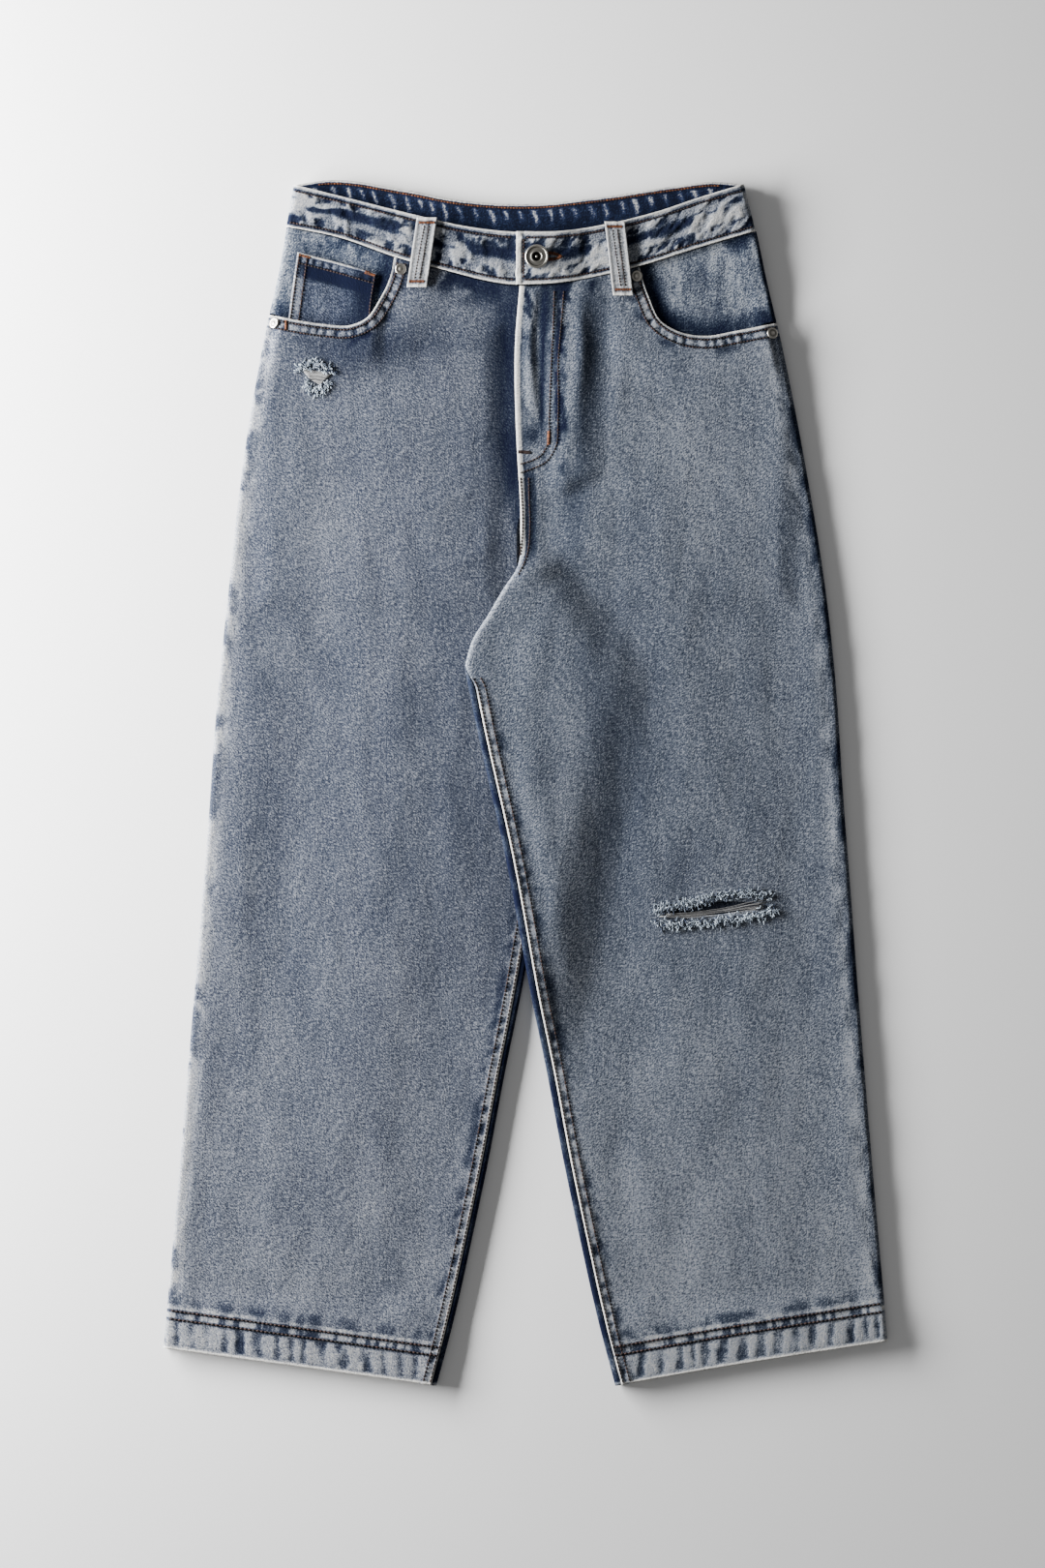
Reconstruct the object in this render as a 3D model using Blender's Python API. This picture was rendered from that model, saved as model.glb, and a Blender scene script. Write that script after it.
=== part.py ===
"""Wide-leg five-pocket jeans with a torn knee, laid flat with the front up.

All lengths are in millimetres until a mesh is made. +X is the wearer's left, +Y is
towards the waist and +Z is up from the surface. Each cloth piece is one open
surface, its outer face, and a Solidify modifier gives it its wall. The legs are
flattened tubes: a back piece on the surface and a front piece lying on it.
"""

import math

import bmesh
import bpy
import numpy as np
from mathutils import Vector

# Driving dimensions.
MM = 0.001
CLOTH = 1.2  # wall of the washed denim
BAND = 2.6  # wall of the waistband, two layers and its interlining
LOOP = 2.0  # wall of a belt loop, folded in three
GAP = 0.3  # kept between pieces at a seam
EDGE_RADIUS = 3.0  # of a leg's rolled side
PRESSED_RADIUS = 2.1  # of a leg's side under the other leg
TUBE = 4.4  # a leg's height from underside to upper face, away from its sides
HEM_DEPTH = 25.0
HEM_TUBE = 6.8  # a leg's height at the hems, where each side is doubled
ROLL = 25.0  # how far a rolled side takes to settle to the flat height
BAND_TUBE = 7.4  # height of the flattened waistband
BAND_RADIUS = 4.2
BAND_LIFT = 2.7  # the back waistband lies on its loops
WAIST_LIFT = 2.9  # the back's upper edge meets the lifted waistband
POCKET_LIFT = 1.8  # the back lies on its patch pockets
CROSSING_LIFT = 5.8  # the left leg lies over the right one
FLY_LIFT = 3.4  # the left front lies over the fly facing and the right front
LAP_LIFT = 1.8  # the left front laps the right one at the front rise
BAND_LAP_LIFT = 2.95
MOUTH_LIFT = 2.1  # a pocket mouth lies over its facing
COIN_LIFT = 1.9  # and over the coin pocket's lower end
FOLD_TOP = 190.0  # where the left front leaves the rise and folds over
FOLD_FULL = 166.0
INSEAM_TOP = 98.0  # the corner where the fold ends and the inseam starts
CROSSING_END = -150.0  # where the legs part
BUTTON_DIAMETER = 19.0
RIVET_DIAMETER = 9.0

# The outline. Half the garment's width, and how far its middle leans to one side,
# by height; then the inner edge of a leg, from the crotch to the hem.
HALF_WIDTH = [
    (479, 178.5), (439, 186.8), (407, 192.9), (361, 203.6), (315, 212.9),
    (253, 223.7), (192, 232.5), (84, 244.9), (-39, 253.7), (-178, 264.9),
    (-316, 276.4), (-449, 288.3),
]
LEAN = [(479, -5.8), (439, -3.8), (361, -3.0), (253, -1.5), (160, 0.8), (0, 0.6),
        (-200, 0.2), (-449, 0.0)]
INSEAM = [(-48.8, 92), (-41, 53), (-14, -70), (-5, -118.6), (2, -158), (17, -232),
          (30, -301), (43, -363), (56.6, -424), (71, -479)]
FOLD = [(-6.8, 171.7), (-18.1, 154), (-31.2, 131.7), (-42.7, 113.2), (-48.8, 92)]
HIDDEN_CROTCH = [(-1, 165), (12, 140), (30, 112), (43, 84), (41, 53)]

BAND_TOP_FRONT = [(-184.6, 474.4), (-140, 464), (-88, 451), (-45, 441.5), (-6.5, 437.4),
                  (28, 438), (63, 443.5), (104, 453.5), (140, 465.5), (173.4, 475)]
BAND_LOW_FRONT = [(-190.6, 441.8), (-152, 434.3), (-96, 415.4), (-70.5, 408.9),
                  (-6.5, 395.8), (25, 397), (65, 404.3), (90, 410.4), (136, 424.8),
                  (182.6, 438.4)]
BAND_TOP_BACK = [(-184.6, 475.4), (-158, 479), (-98, 471.5), (-52, 463), (2, 460),
                 (56, 465), (117, 474), (148, 477.6), (173.4, 476)]
BAND_LOW_BACK = [(-190.6, 441.8), (-150, 438), (-98, 431), (-52, 423), (2, 420),
                 (56, 424.5), (117, 433), (148, 437), (182.6, 438.4)]
YOKE_SIDE, YOKE_MIDDLE, YOKE_CENTRE = 402.0, 385.0, 352.0  # heights of the yokes' lower edge
YOKE_SIDE_X, WAIST_SIDE_X = {-1: -197.2, 1: 191.6}, {-1: -190.6, 1: 182.6}
POCKET_CENTRE, POCKET_HALF = (117.0, 252.0), (78.0, 94.0)  # of a patch pocket, by width and height
MOUTH_RIGHT = [(-204.3, 372), (-181.3, 367.3), (-159.4, 364.2), (-140.5, 363.4),
               (-128.5, 368), (-115.1, 385.8), (-107.5, 403), (-104.5, 417.6)]
MOUTH_LEFT = [(200.2, 365.4), (165.9, 358.8), (144, 355.2), (123.6, 358.1),
              (107.1, 368), (98.2, 385.8), (92.6, 402), (90.5, 410.1)]
FLY_EDGE = [(-5, 394.7), (-8.6, 349), (-8.2, 290), (-6.5, 254), (-5, 230), (-4.4, 205)]


def smooth(points):
    """200 points on a cubic curve through the given ones, its slopes from their neighbours."""
    given = np.array(points, float)
    at = np.concatenate([[0], np.cumsum(np.hypot(*np.diff(given, axis=0).T))])
    slope = np.gradient(given, at, axis=0)
    asked = np.linspace(0, at[-1], 200)
    i = np.clip(np.searchsorted(at, asked, "right") - 1, 0, len(at) - 2)
    span = (at[i + 1] - at[i])[:, None]
    t = (asked - at[i])[:, None] / span
    start = (1 + 2 * t) * (1 - t) ** 2 * given[i] + t * (1 - t) ** 2 * span * slope[i]
    end = t**2 * (3 - 2 * t) * given[i + 1] + t**2 * (t - 1) * span * slope[i + 1]
    return start + end


def path(*runs):
    """Smooth runs joined end to end, with a corner at each join."""
    return np.vstack([smooth(run) for run in runs])


def along(route, share):
    """The point at each share, 0 to 1, of a route's length."""
    at = np.concatenate([[0], np.cumsum(np.hypot(*np.diff(route, axis=0).T))])
    asked = np.asarray(share) * at[-1]
    return np.stack([np.interp(asked, at, route[:, k]) for k in (0, 1)], -1)


def by_height(points):
    """A value that varies with y, read from a smooth curve through (y, value) pairs."""
    curve = smooth(points)[::-1]
    return lambda y: np.interp(y, curve[:, 0], curve[:, 1])


def by_width(points):
    """A height y that varies with x, read from a smooth curve through (x, y) pairs."""
    curve = smooth(points)
    return lambda x: np.interp(x, curve[:, 0], curve[:, 1])


def ease(value, start, end):
    """0 before start and 1 past end, with a smooth step between; start may be the larger."""
    t = np.clip((value - start) / (end - start), 0, 1)
    return t * t * (3 - 2 * t)


def distance(x, y, route):
    """How far each point in plan lies from a route."""
    a, b = route[:-1], route[1:]
    line = b - a
    here = np.stack([x, y], -1)[..., None, :] - a
    size = np.maximum((line**2).sum(-1), 1e-12)
    t = np.clip((here * line).sum(-1) / size, 0, 1)
    return np.sqrt(((here - t[..., None] * line) ** 2).sum(-1).min(-1))


def patch(top, outer, bottom, inner):
    """A Coons surface in plan. u runs from the outer edge to the inner, v from top to bottom."""
    def at(u, v):
        u, v = np.broadcast_arrays(u, v)
        across, down = u[..., None], v[..., None]
        sides = (1 - across) * along(outer, v) + across * along(inner, v)
        ends = (1 - down) * along(top, u) + down * along(bottom, u)
        corners = (
            (1 - across) * (1 - down) * top[0] + across * (1 - down) * top[-1]
            + (1 - across) * down * bottom[0] + across * down * bottom[-1]
        )
        return sides + ends - corners
    return at


half_width, lean = by_height(HALF_WIDTH), by_height(LEAN)
band_low_back, band_low_front = by_width(BAND_LOW_BACK), by_width(BAND_LOW_FRONT)
right_inner = by_height([(y, x) for x, y in HIDDEN_CROTCH] + [(y, -x) for x, y in INSEAM[2:]])


def side(sign, high, low):
    """The side seam's route between two heights, on the wearer's left for sign +1."""
    y = np.linspace(high, low, 120)
    return np.stack([sign * half_width(y) + lean(y), y], -1)


# Heights of the surface that each layer lies on.
def patch_pocket(x, y):
    """1 over a back pocket and a margin round it, 0 away from it."""
    across = np.abs(np.abs(x) - POCKET_CENTRE[0]) - POCKET_HALF[0]
    along_y = np.abs(y - POCKET_CENTRE[1]) - POCKET_HALF[1]
    return 1 - ease(np.maximum(across, along_y), 4, 26)


def base_right(x, y):
    waist = WAIST_LIFT * (1 - ease(band_low_back(x) - y, 26, 74))
    return waist + POCKET_LIFT * patch_pocket(x, y)


def base_left(x, y):
    """As on the right, and up over the right leg where it lies on it."""
    beside = 1 - ease(x - right_inner(y), 8, 62)
    crossing = ease(y, FOLD_TOP, FOLD_FULL) * (1 - ease(y, CROSSING_END, -235)) * beside
    return np.maximum(base_right(x, y), CROSSING_LIFT * crossing)


def mouth_lift(x, y, mouth):
    return MOUTH_LIFT * (1 - ease(distance(x, y, mouth), 24, 56))


def lift_right(x, y):
    """How far the right front stands above the flat height of its leg."""
    coin = COIN_LIFT * ease(x, -110, -124) * (1 - ease(distance(x, y, mouth_right), 16, 44))
    return mouth_lift(x, y, mouth_right) + coin


def lift_left(x, y):
    fly = ease(y, 224, 246)
    reach = 6 + 36 * fly
    centre = (LAP_LIFT + (FLY_LIFT - LAP_LIFT) * fly) * (1 - ease(x, reach, reach + 26))
    return mouth_lift(x, y, mouth_left) + centre * ease(y, 150, 176)


mouth_right, mouth_left = smooth(MOUTH_RIGHT), smooth(MOUTH_LEFT)


# Rolled edges of a flattened tube. An edge says, for each height y along it, the
# radius of its roll, how far round the roll its seam lies (0 at the middle of the
# side, positive over the top), and how much of it is a plain cut edge instead.
def side_edge(y):
    return EDGE_RADIUS + 0.5 * ease(y, -395, -420), 0 * y, 0 * y


def inner_edge_left(y):
    radius = EDGE_RADIUS + 0.5 * ease(y, -420, -445)
    return radius, 7.0 * ease(y, INSEAM_TOP, INSEAM_TOP - 24), ease(y, FOLD_FULL, FOLD_TOP)


def inner_edge_right(y):
    out = ease(y, CROSSING_END, CROSSING_END - 60)
    radius = PRESSED_RADIUS + (EDGE_RADIUS - PRESSED_RADIUS) * out
    return radius + 0.5 * ease(y, -420, -445), 6.2 + 0 * y, ease(y, FOLD_FULL - 12, FOLD_TOP)


def band_edge(y):
    return BAND_RADIUS + 0 * y, 0 * y, 0 * y


def cut_edge(y):
    return 1 + 0 * y, 0 * y, 1 + 0 * y


def leg_height(y):
    return TUBE + (HEM_TUBE - TUBE) * ease(y, -405, -432)


def band_height(y):
    return BAND_TUBE + 0 * y


def rolled(edge, y, steps, upper, tube, wall):
    """Inset and height of points that lie the given steps along the cloth from an edge's seam.

    Round the roll they follow a half circle; past it they run in flat, and over the
    top they settle to the tube's flat height. The seam's gap is wider on a thick wall,
    so that the two walls' inner corners stay apart.
    """
    radius, seam, plain = (value[:, None] for value in edge(y))
    way = 1 if upper else -1
    hem = ease(y, -395, -420)[:, None]
    start = 0.6 * GAP + 0.42 * wall * (1 + hem) * (1 - ease(np.abs(seam), 2, 5))
    s = seam + way * (start + steps)
    turn = np.clip(s / radius, -math.pi / 2, math.pi / 2)
    past = np.maximum(np.abs(s) - radius * math.pi / 2, 0)
    inset = radius * (1 - np.cos(turn)) + past
    height = radius * (1 + np.sin(turn))
    flat = tube(y)[:, None]
    settle = (flat - 2 * radius) * (1 - np.exp(-((past / ROLL) ** 2)))
    height += np.where(s > 0, settle, 0)
    return (1 - plain) * inset + plain * steps, (1 - plain) * height + plain * flat * upper


def rolled_top(inset, y, radius, tube):
    """Height of a tube's upper face at an inset from its side."""
    lying = np.clip(1 - inset / radius, 0, 1)
    past = np.maximum(inset - radius, 0)
    settle = (tube(y) - 2 * radius) * (1 - np.exp(-((past / ROLL) ** 2)))
    return radius * (1 + np.sqrt(1 - lying**2)) + settle


def leg_top(x, y):
    """Height of a leg's upper face where nothing lifts it."""
    inset = half_width(y) - np.abs(x - lean(y))
    base = np.where(x < 0, base_right(x, y), base_left(x, y))
    return base + rolled_top(inset, y, EDGE_RADIUS, leg_height)


def front_top(x, y):
    """Height of a front piece's upper face."""
    inset = half_width(y) - np.abs(x - lean(y))
    lift = np.where(x < 0, lift_right(x, y), lift_left(x, y))
    return leg_top(x, y) + lift * ease(inset, 3, 10)


def band_lap(x, y):
    return BAND_LAP_LIFT * (1 - ease(x, 22, 52))


# Making objects.
def material(name, colour, roughness, metallic=0.0):
    made = bpy.data.materials.new(name)
    made.use_nodes = True
    shader = made.node_tree.nodes["Principled BSDF"]
    shader.inputs["Base Color"].default_value = (*colour, 1)
    shader.inputs["Roughness"].default_value = roughness
    shader.inputs["Metallic"].default_value = metallic
    return made


def cloth(name, grid, finish, wall=CLOTH, face_up=True, doubled=None):
    """A cloth piece from a grid of points on its outer face; its wall goes inwards.

    doubled is 0 to 1 for each point: 1 where the cloth is folded back on itself.
    """
    rows, columns = grid.shape[:2]
    index = np.arange(rows * columns).reshape(rows, columns)
    corners = [index[:-1, :-1], index[:-1, 1:], index[1:, 1:], index[1:, :-1]]
    quads = np.stack([c.ravel() for c in corners], -1)
    across = grid[rows // 2, -1] - grid[rows // 2, 0]
    down = grid[-1, columns // 2] - grid[0, columns // 2]
    if (np.cross(across, down)[2] > 0) != face_up:
        quads = quads[:, ::-1]
    mesh = bpy.data.meshes.new(name)
    mesh.from_pydata((grid.reshape(-1, 3) * MM).tolist(), [], quads.tolist())
    mesh.shade_smooth()
    mesh.materials.append(finish)
    obj = bpy.data.objects.new(name, mesh)
    bpy.context.scene.collection.objects.link(obj)
    thick = obj.modifiers.new("Wall", "SOLIDIFY")
    thick.offset = -1
    thick.thickness = wall * MM
    if doubled is not None:
        thick.thickness = 2 * wall * MM
        group = obj.vertex_groups.new(name="doubled")
        for i, share in enumerate(doubled.ravel()):
            group.add([i], 0.5 + 0.5 * float(share), "REPLACE")
        thick.vertex_group = group.name
    return obj


def panel(name, plan, rows, edges, steps, between, floor, finish, tube=leg_height,
          lift=None, upper=True, wall=CLOTH, hem=False):
    """A piece of a flattened tube: columns rolled round each side edge, even ones between.

    plan is its outline, rows the shares of its length that get a row, edges its two
    side edges and steps the distances along the cloth from each of them. floor is the
    height under the tube, tube its flat height, and lift what raises an upper piece.
    """
    y_first, y_last = plan(0.0, rows)[:, 1], plan(1.0, rows)[:, 1]
    width = np.hypot(*(plan(1.0, rows) - plan(0.0, rows)).T)[:, None]
    first_in, first_up = rolled(edges[0], y_first, np.array(steps[0]), upper, tube, wall)
    last_in, last_up = rolled(edges[1], y_last, np.array(steps[1]), upper, tube, wall)
    shares = np.linspace(0, 1, between + 2)[1:-1]
    start, end = first_in[:, -1:], width - last_in[:, -1:]
    flat = tube((y_first + y_last) / 2)[:, None] * upper
    ends = first_up[:, -1:] * (1 - shares) + last_up[:, -1:] * shares
    middle_up = flat + (ends - flat) * np.abs(2 * shares - 1) ** 3
    inset = np.hstack([first_in, start + (end - start) * shares, width - last_in[:, ::-1]])
    height = np.hstack([first_up, middle_up, last_up[:, ::-1]])
    plane = plan(inset / width, rows[:, None])
    x, y = plane[..., 0], plane[..., 1]
    if lift:
        plain = edges[1](y_last)[2][:, None]
        height += lift(x, y) * ease(np.minimum(inset, width - inset + 99 * plain), 3, 10)
    doubled = None
    if hem:
        to_hem = distance(x, y, plan(np.linspace(0, 1, 40), 1.0))
        doubled = 1 - ease(to_hem, HEM_DEPTH, HEM_DEPTH + 2)
    grid = np.dstack([x, y, floor(x, y) + height])
    return cloth(name, grid, finish, wall, upper, doubled)


def laid(name, plan, rows, columns, outer, finish, wall=CLOTH, upper=True):
    """A piece that lies flat on another: an even grid whose outer face is at the height outer(x, y)."""
    v, u = np.meshgrid(np.linspace(0, 1, rows), np.linspace(0, 1, columns), indexing="ij")
    plane = plan(u, v)
    x, y = plane[..., 0], plane[..., 1]
    return cloth(name, np.dstack([x, y, outer(x, y) + 0 * x]), finish, wall, upper)


def turned(name, profile, sides, place, normal, finish):
    """A solid turned about its axis from a profile of (radius, height), set along a normal."""
    shape = bmesh.new()
    made = [shape.verts.new((r * MM, 0, z * MM)) for r, z in profile]
    for a, b in zip(made, made[1:]):
        shape.edges.new((a, b))
    bmesh.ops.spin(
        shape, geom=shape.verts[:] + shape.edges[:], axis=(0, 0, 1), cent=(0, 0, 0),
        steps=sides, angle=math.tau, use_merge=True,
    )
    bmesh.ops.remove_doubles(shape, verts=shape.verts, dist=1e-6)
    bmesh.ops.recalc_face_normals(shape, faces=shape.faces)
    mesh = bpy.data.meshes.new(name)
    shape.to_mesh(mesh)
    shape.free()
    mesh.shade_smooth()
    mesh.set_sharp_from_angle(angle=math.radians(40))
    mesh.materials.append(finish)
    obj = bpy.data.objects.new(name, mesh)
    obj.location = Vector(place) * MM
    obj.rotation_euler = Vector(normal).to_track_quat("Z", "Y").to_euler()
    bpy.context.scene.collection.objects.link(obj)
    return obj


for old in list(bpy.data.objects):
    bpy.data.objects.remove(old)

denim = material("washed_denim", (0.22, 0.25, 0.31), 0.9)
dark_denim = material("unfaded_denim", (0.06, 0.09, 0.17), 0.9)
pale_denim = material("pale_loop_denim", (0.55, 0.56, 0.57), 0.9)
tape = material("zip_tape", (0.05, 0.07, 0.12), 0.8)
nickel = material("aged_nickel", (0.45, 0.43, 0.40), 0.35, 1.0)


# Legs.
def joined(points, first_y, sign):
    """The points below a height, mirrored to the right leg for sign -1."""
    return [(sign * x, y) for x, y in points if y <= first_y]


def waist(start, end):
    """The front waist seam, just under the waistband's lower edge."""
    x = np.linspace(start, end, 60)
    return np.stack([x, band_low_front(x) - GAP], -1)


LEG_ROWS = np.array([
    0, 0.03, 0.07, 0.11, 0.15, 0.19, 0.215, 0.235, 0.255, 0.275, 0.3, 0.32, 0.34, 0.38,
    0.46, 0.56, 0.66, 0.76, 0.86, 0.965, 0.973, 1,
])
FRONT_STEPS = ([0, 0.8, 2.6, 5.5, 13, 27], [0, 0.8, 3, 6, 13, 27])
BACK_STEPS = ([0, 0.8, 2.6, 6, 20], [0, 0.8, 3, 5.2, 7.4, 9.6, 12.5, 24])
hem_right = smooth([(-288, -449), (-71, -479)])
hem_left = smooth([(288, -443.5), (148, -465.5), (71, -479)])
inseam_right = joined(INSEAM, 53, -1)

front_right_plan = patch(
    np.vstack([mouth_right, waist(-104.5, 4)]), side(-1, 372, -449), hem_right,
    path([(4, 395.1), (4, 226)], [(4, 226), (-5, 208), (-5, 180), (-1, 165)], HIDDEN_CROTCH,
         inseam_right),
)
front_left_plan = patch(
    np.vstack([mouth_left, waist(90.5, -5)]), side(1, 365.4, -443.5), hem_left,
    path(FLY_EDGE + FOLD, INSEAM),
)
back_right_plan = patch(
    smooth([(YOKE_SIDE_X[-1], YOKE_SIDE - GAP), (-130, YOKE_MIDDLE - GAP),
            (-GAP / 2, YOKE_CENTRE - GAP)]),
    side(-1, YOKE_SIDE - GAP, -449), hem_right,
    path([(-GAP / 2, YOKE_CENTRE - GAP), (-GAP / 2, 190)], [(-GAP / 2, 190), (-1, 165)],
         HIDDEN_CROTCH, inseam_right),
)
back_left_plan = patch(
    smooth([(YOKE_SIDE_X[1], YOKE_SIDE - GAP), (130, YOKE_MIDDLE - GAP),
            (GAP / 2, YOKE_CENTRE - GAP)]),
    side(1, YOKE_SIDE - GAP, -443.5), hem_left,
    path([(GAP / 2, YOKE_CENTRE - GAP), (GAP / 2, 174)], [(GAP / 2, 174), (-16, 152)] + FOLD[2:],
         INSEAM),
)
edges_right, edges_left = (side_edge, inner_edge_right), (side_edge, inner_edge_left)
panel("front_right", front_right_plan, LEG_ROWS, edges_right, FRONT_STEPS, 7, base_right,
      denim, lift=lift_right, hem=True)
front_left = panel("front_left", front_left_plan, LEG_ROWS, edges_left, FRONT_STEPS, 7,
                   base_left, denim, lift=lift_left, hem=True)
panel("back_right", back_right_plan, LEG_ROWS, edges_right, BACK_STEPS, 5, base_right,
      denim, upper=False, hem=True)
panel("back_left", back_left_plan, LEG_ROWS, edges_left, BACK_STEPS, 5, base_left,
      denim, upper=False, hem=True)

# The open slit across the left knee, cut through the front only.
TEAR_CENTRE, TEAR_LENGTH, TEAR_WIDTH, TEAR_TILT = (155.5, -97.5), 62.0, 7.0, 9.0
CUTTER_LOW, CUTTER_DEPTH = 1.6, 12.0
tear = bmesh.new()
share = np.linspace(0, 1, 9)
lens = [(t - 0.5, math.sin(math.pi * t) / 2) for t in share]
lens += [(t - 0.5, -math.sin(math.pi * t) / 2) for t in share[-2:0:-1]]
ring = [tear.verts.new((a * TEAR_LENGTH * MM, b * TEAR_WIDTH * MM, 0)) for a, b in lens]
bottom = tear.faces.new(ring)
raised = bmesh.ops.extrude_face_region(tear, geom=[bottom])["geom"]
bmesh.ops.translate(
    tear, vec=(0, 0, CUTTER_DEPTH * MM), verts=[v for v in raised if isinstance(v, bmesh.types.BMVert)]
)
bmesh.ops.recalc_face_normals(tear, faces=tear.faces)
tear_mesh = bpy.data.meshes.new("knee_tear_cutter")
tear.to_mesh(tear_mesh)
tear.free()
cutter = bpy.data.objects.new("knee_tear_cutter", tear_mesh)
cutter.location = (TEAR_CENTRE[0] * MM, TEAR_CENTRE[1] * MM, CUTTER_LOW * MM)
cutter.rotation_euler = (0, 0, math.radians(TEAR_TILT))
cutter.hide_render = True
cutter.display_type = "WIRE"
bpy.context.scene.collection.objects.link(cutter)
cut = front_left.modifiers.new("Knee tear", "BOOLEAN")
cut.object = cutter
cut.operation = "DIFFERENCE"

# Yokes, between the back panels and the waistband.
YOKE_ROWS = np.linspace(0, 1, 4)
YOKE_STEPS = ([0, 0.8, 2.6, 6, 20], [0])
for hand, sign in (("right", -1), ("left", 1)):
    x_side, x_top = YOKE_SIDE_X[sign], WAIST_SIDE_X[sign]
    high = band_low_back(x_top) - GAP
    middle = sign * GAP / 2
    top_x = np.linspace(x_top, middle, 60)
    plan = patch(
        np.stack([top_x, band_low_back(top_x) - GAP], -1),
        side(sign, high, YOKE_SIDE),
        smooth([(x_side, YOKE_SIDE), (sign * 130, YOKE_MIDDLE), (middle, YOKE_CENTRE)]),
        smooth([(middle, band_low_back(middle) - GAP), (middle, YOKE_CENTRE)]),
    )
    panel("yoke_" + hand, plan, YOKE_ROWS, (side_edge, cut_edge), YOKE_STEPS, 5,
          base_right if sign < 0 else base_left, denim, upper=False)

# Pocket facings inside the mouths, and the coin pocket on the right one.
FACING_ROWS = np.linspace(0, 1, 6)
FACING_STEPS = ([0, 0.8, 2.6, 5.5, 13], [0])
facing_right = patch(
    smooth([(x, y - GAP) for x, y in BAND_LOW_FRONT[:3]] + [(-86, 412.5)]),
    side(-1, 441.5, 373.4),
    path([(-204.1, 373.4), (-196, 371.4)], [(-196, 371.4), (-188, 359), (-168, 349), (-142, 345),
                                          (-122, 347), (-108, 356)]),
    smooth([(-86, 412.5), (-93, 385), (-108, 356)]),
)
facing_left = patch(
    smooth([(182.6, 438.1), (136, 424.5), (90, 410.1), (74, 406)]),
    side(1, 438.1, 366.8),
    path([(200, 366.8), (189, 364.6)], [(189, 364.6), (180, 348), (164, 341), (144, 338),
                                        (122, 342), (102, 353)]),
    smooth([(74, 406), (86, 380), (102, 353)]),
)
for hand, plan, base in (("right", facing_right, base_right), ("left", facing_left, base_left)):
    panel("pocket_facing_" + hand, plan, FACING_ROWS, (side_edge, cut_edge), FACING_STEPS, 5,
          base, denim)
coin_plan = patch(
    smooth([(-181.3, 421.2), (-150, 413.4), (-118.2, 404.3)]),
    smooth([(-181.3, 421.2), (-185.5, 392), (-189.3, 364)]),
    smooth([(-189.3, 364), (-160, 356), (-124, 356)]),
    smooth([(-118.2, 404.3), (-122, 380.4), (-124, 356)]),
)
laid("coin_pocket", coin_plan, 5, 7, lambda x, y: leg_top(x, y) + CLOTH + 2.2 * GAP, dark_denim)

# Fly: the facing under the left front, and the closed zip beside the right front.
fly_plan = patch(
    smooth([(24, 396), (-2, 394)]),
    smooth([(24, 396), (24, 300), (22, 264)]),
    smooth([(22, 264), (14, 256), (-4, 254)]),
    smooth([(-2, 394), (-5.5, 349), (-5, 290), (-4, 254)]),
)
laid("fly_facing", fly_plan, 8, 4,
     lambda x, y: leg_top(x, y) + lift_left(x, y) - CLOTH - 1.4 * GAP, denim)
zip_plan = patch(
    smooth([(22, 390), (8, 390)]), smooth([(22, 390), (22, 260)]),
    smooth([(22, 260), (8, 260)]), smooth([(8, 390), (8, 260)]),
)
laid("fly_zip", zip_plan, 6, 2, lambda x, y: leg_top(x, y), tape)

# Waistband: the back piece on the surface, the two front pieces over it.
BAND_ROWS = np.linspace(0, 1, 5)
BAND_STEPS = [0, 0.8, 2.6, 5.5, 12, 26]


def band_base(x, y):
    return BAND_LIFT + 0 * x


corner_right, corner_left = (-184.6, 475), (173.4, 475.5)
low_right, low_left = (-190.6, 441.8), (182.6, 438.4)
back_plan = patch(
    smooth([corner_right] + BAND_TOP_BACK[1:-1] + [corner_left]),
    smooth([corner_right, low_right]), smooth(BAND_LOW_BACK), smooth([corner_left, low_left]),
)
panel("waistband_back", back_plan, BAND_ROWS, (band_edge, band_edge), (BAND_STEPS[:-1],) * 2, 9,
      band_base, dark_denim, tube=band_height, upper=False, wall=BAND)
right_plan = patch(
    smooth([corner_right] + BAND_TOP_FRONT[1:5] + [(18, 437.6)]), smooth([corner_right, low_right]),
    smooth(BAND_LOW_FRONT[:5] + [(18, 396.6)]), smooth([(18, 437.6), (18, 396.6)]),
)
panel("waistband_front_right", right_plan, BAND_ROWS, (band_edge, cut_edge), (BAND_STEPS, [0]), 8,
      band_base, denim, tube=band_height, wall=BAND)
left_plan = patch(
    smooth([corner_left] + BAND_TOP_FRONT[8:4:-1] + [(-7.6, 437.6)]),
    smooth([corner_left, low_left]),
    smooth(BAND_LOW_FRONT[9:4:-1] + [(-7.8, 395.6)]), smooth([(-7.6, 437.6), (-7.8, 395.6)]),
)
panel("waistband_front_left", left_plan, BAND_ROWS, (band_edge, cut_edge), (BAND_STEPS, [0]), 8,
      band_base, denim, tube=band_height, lift=band_lap, wall=BAND)


def waist_top(x, y):
    """Height of the band's outer face, easing down to the front piece below it."""
    band = BAND_LIFT + BAND_TUBE + np.where(x > -8, band_lap(x, y), 0)
    onto = ease(y, band_low_front(x) - 9, band_low_front(x) - 1)
    return onto * band + (1 - onto) * np.minimum(front_top(x, y), band)


# Belt loops. The front two hang over the band; the back three lie under it.
LOOP_WIDTH = 16.0
BACK_LOOP_ABOVE, BACK_LOOP_LENGTH = 40.0, 61.0  # from the band's lower edge, and end to end


def loop_plan(top, bottom):
    """A strip of the loop's width between the middles of its two ends."""
    (x1, y1), (x2, y2), half = top, bottom, LOOP_WIDTH / 2
    return patch(
        smooth([(x1 - half, y1), (x1 + half, y1)]), smooth([(x1 - half, y1), (x2 - half, y2)]),
        smooth([(x2 - half, y2), (x2 + half, y2)]), smooth([(x1 + half, y1), (x2 + half, y2)]),
    )


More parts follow.
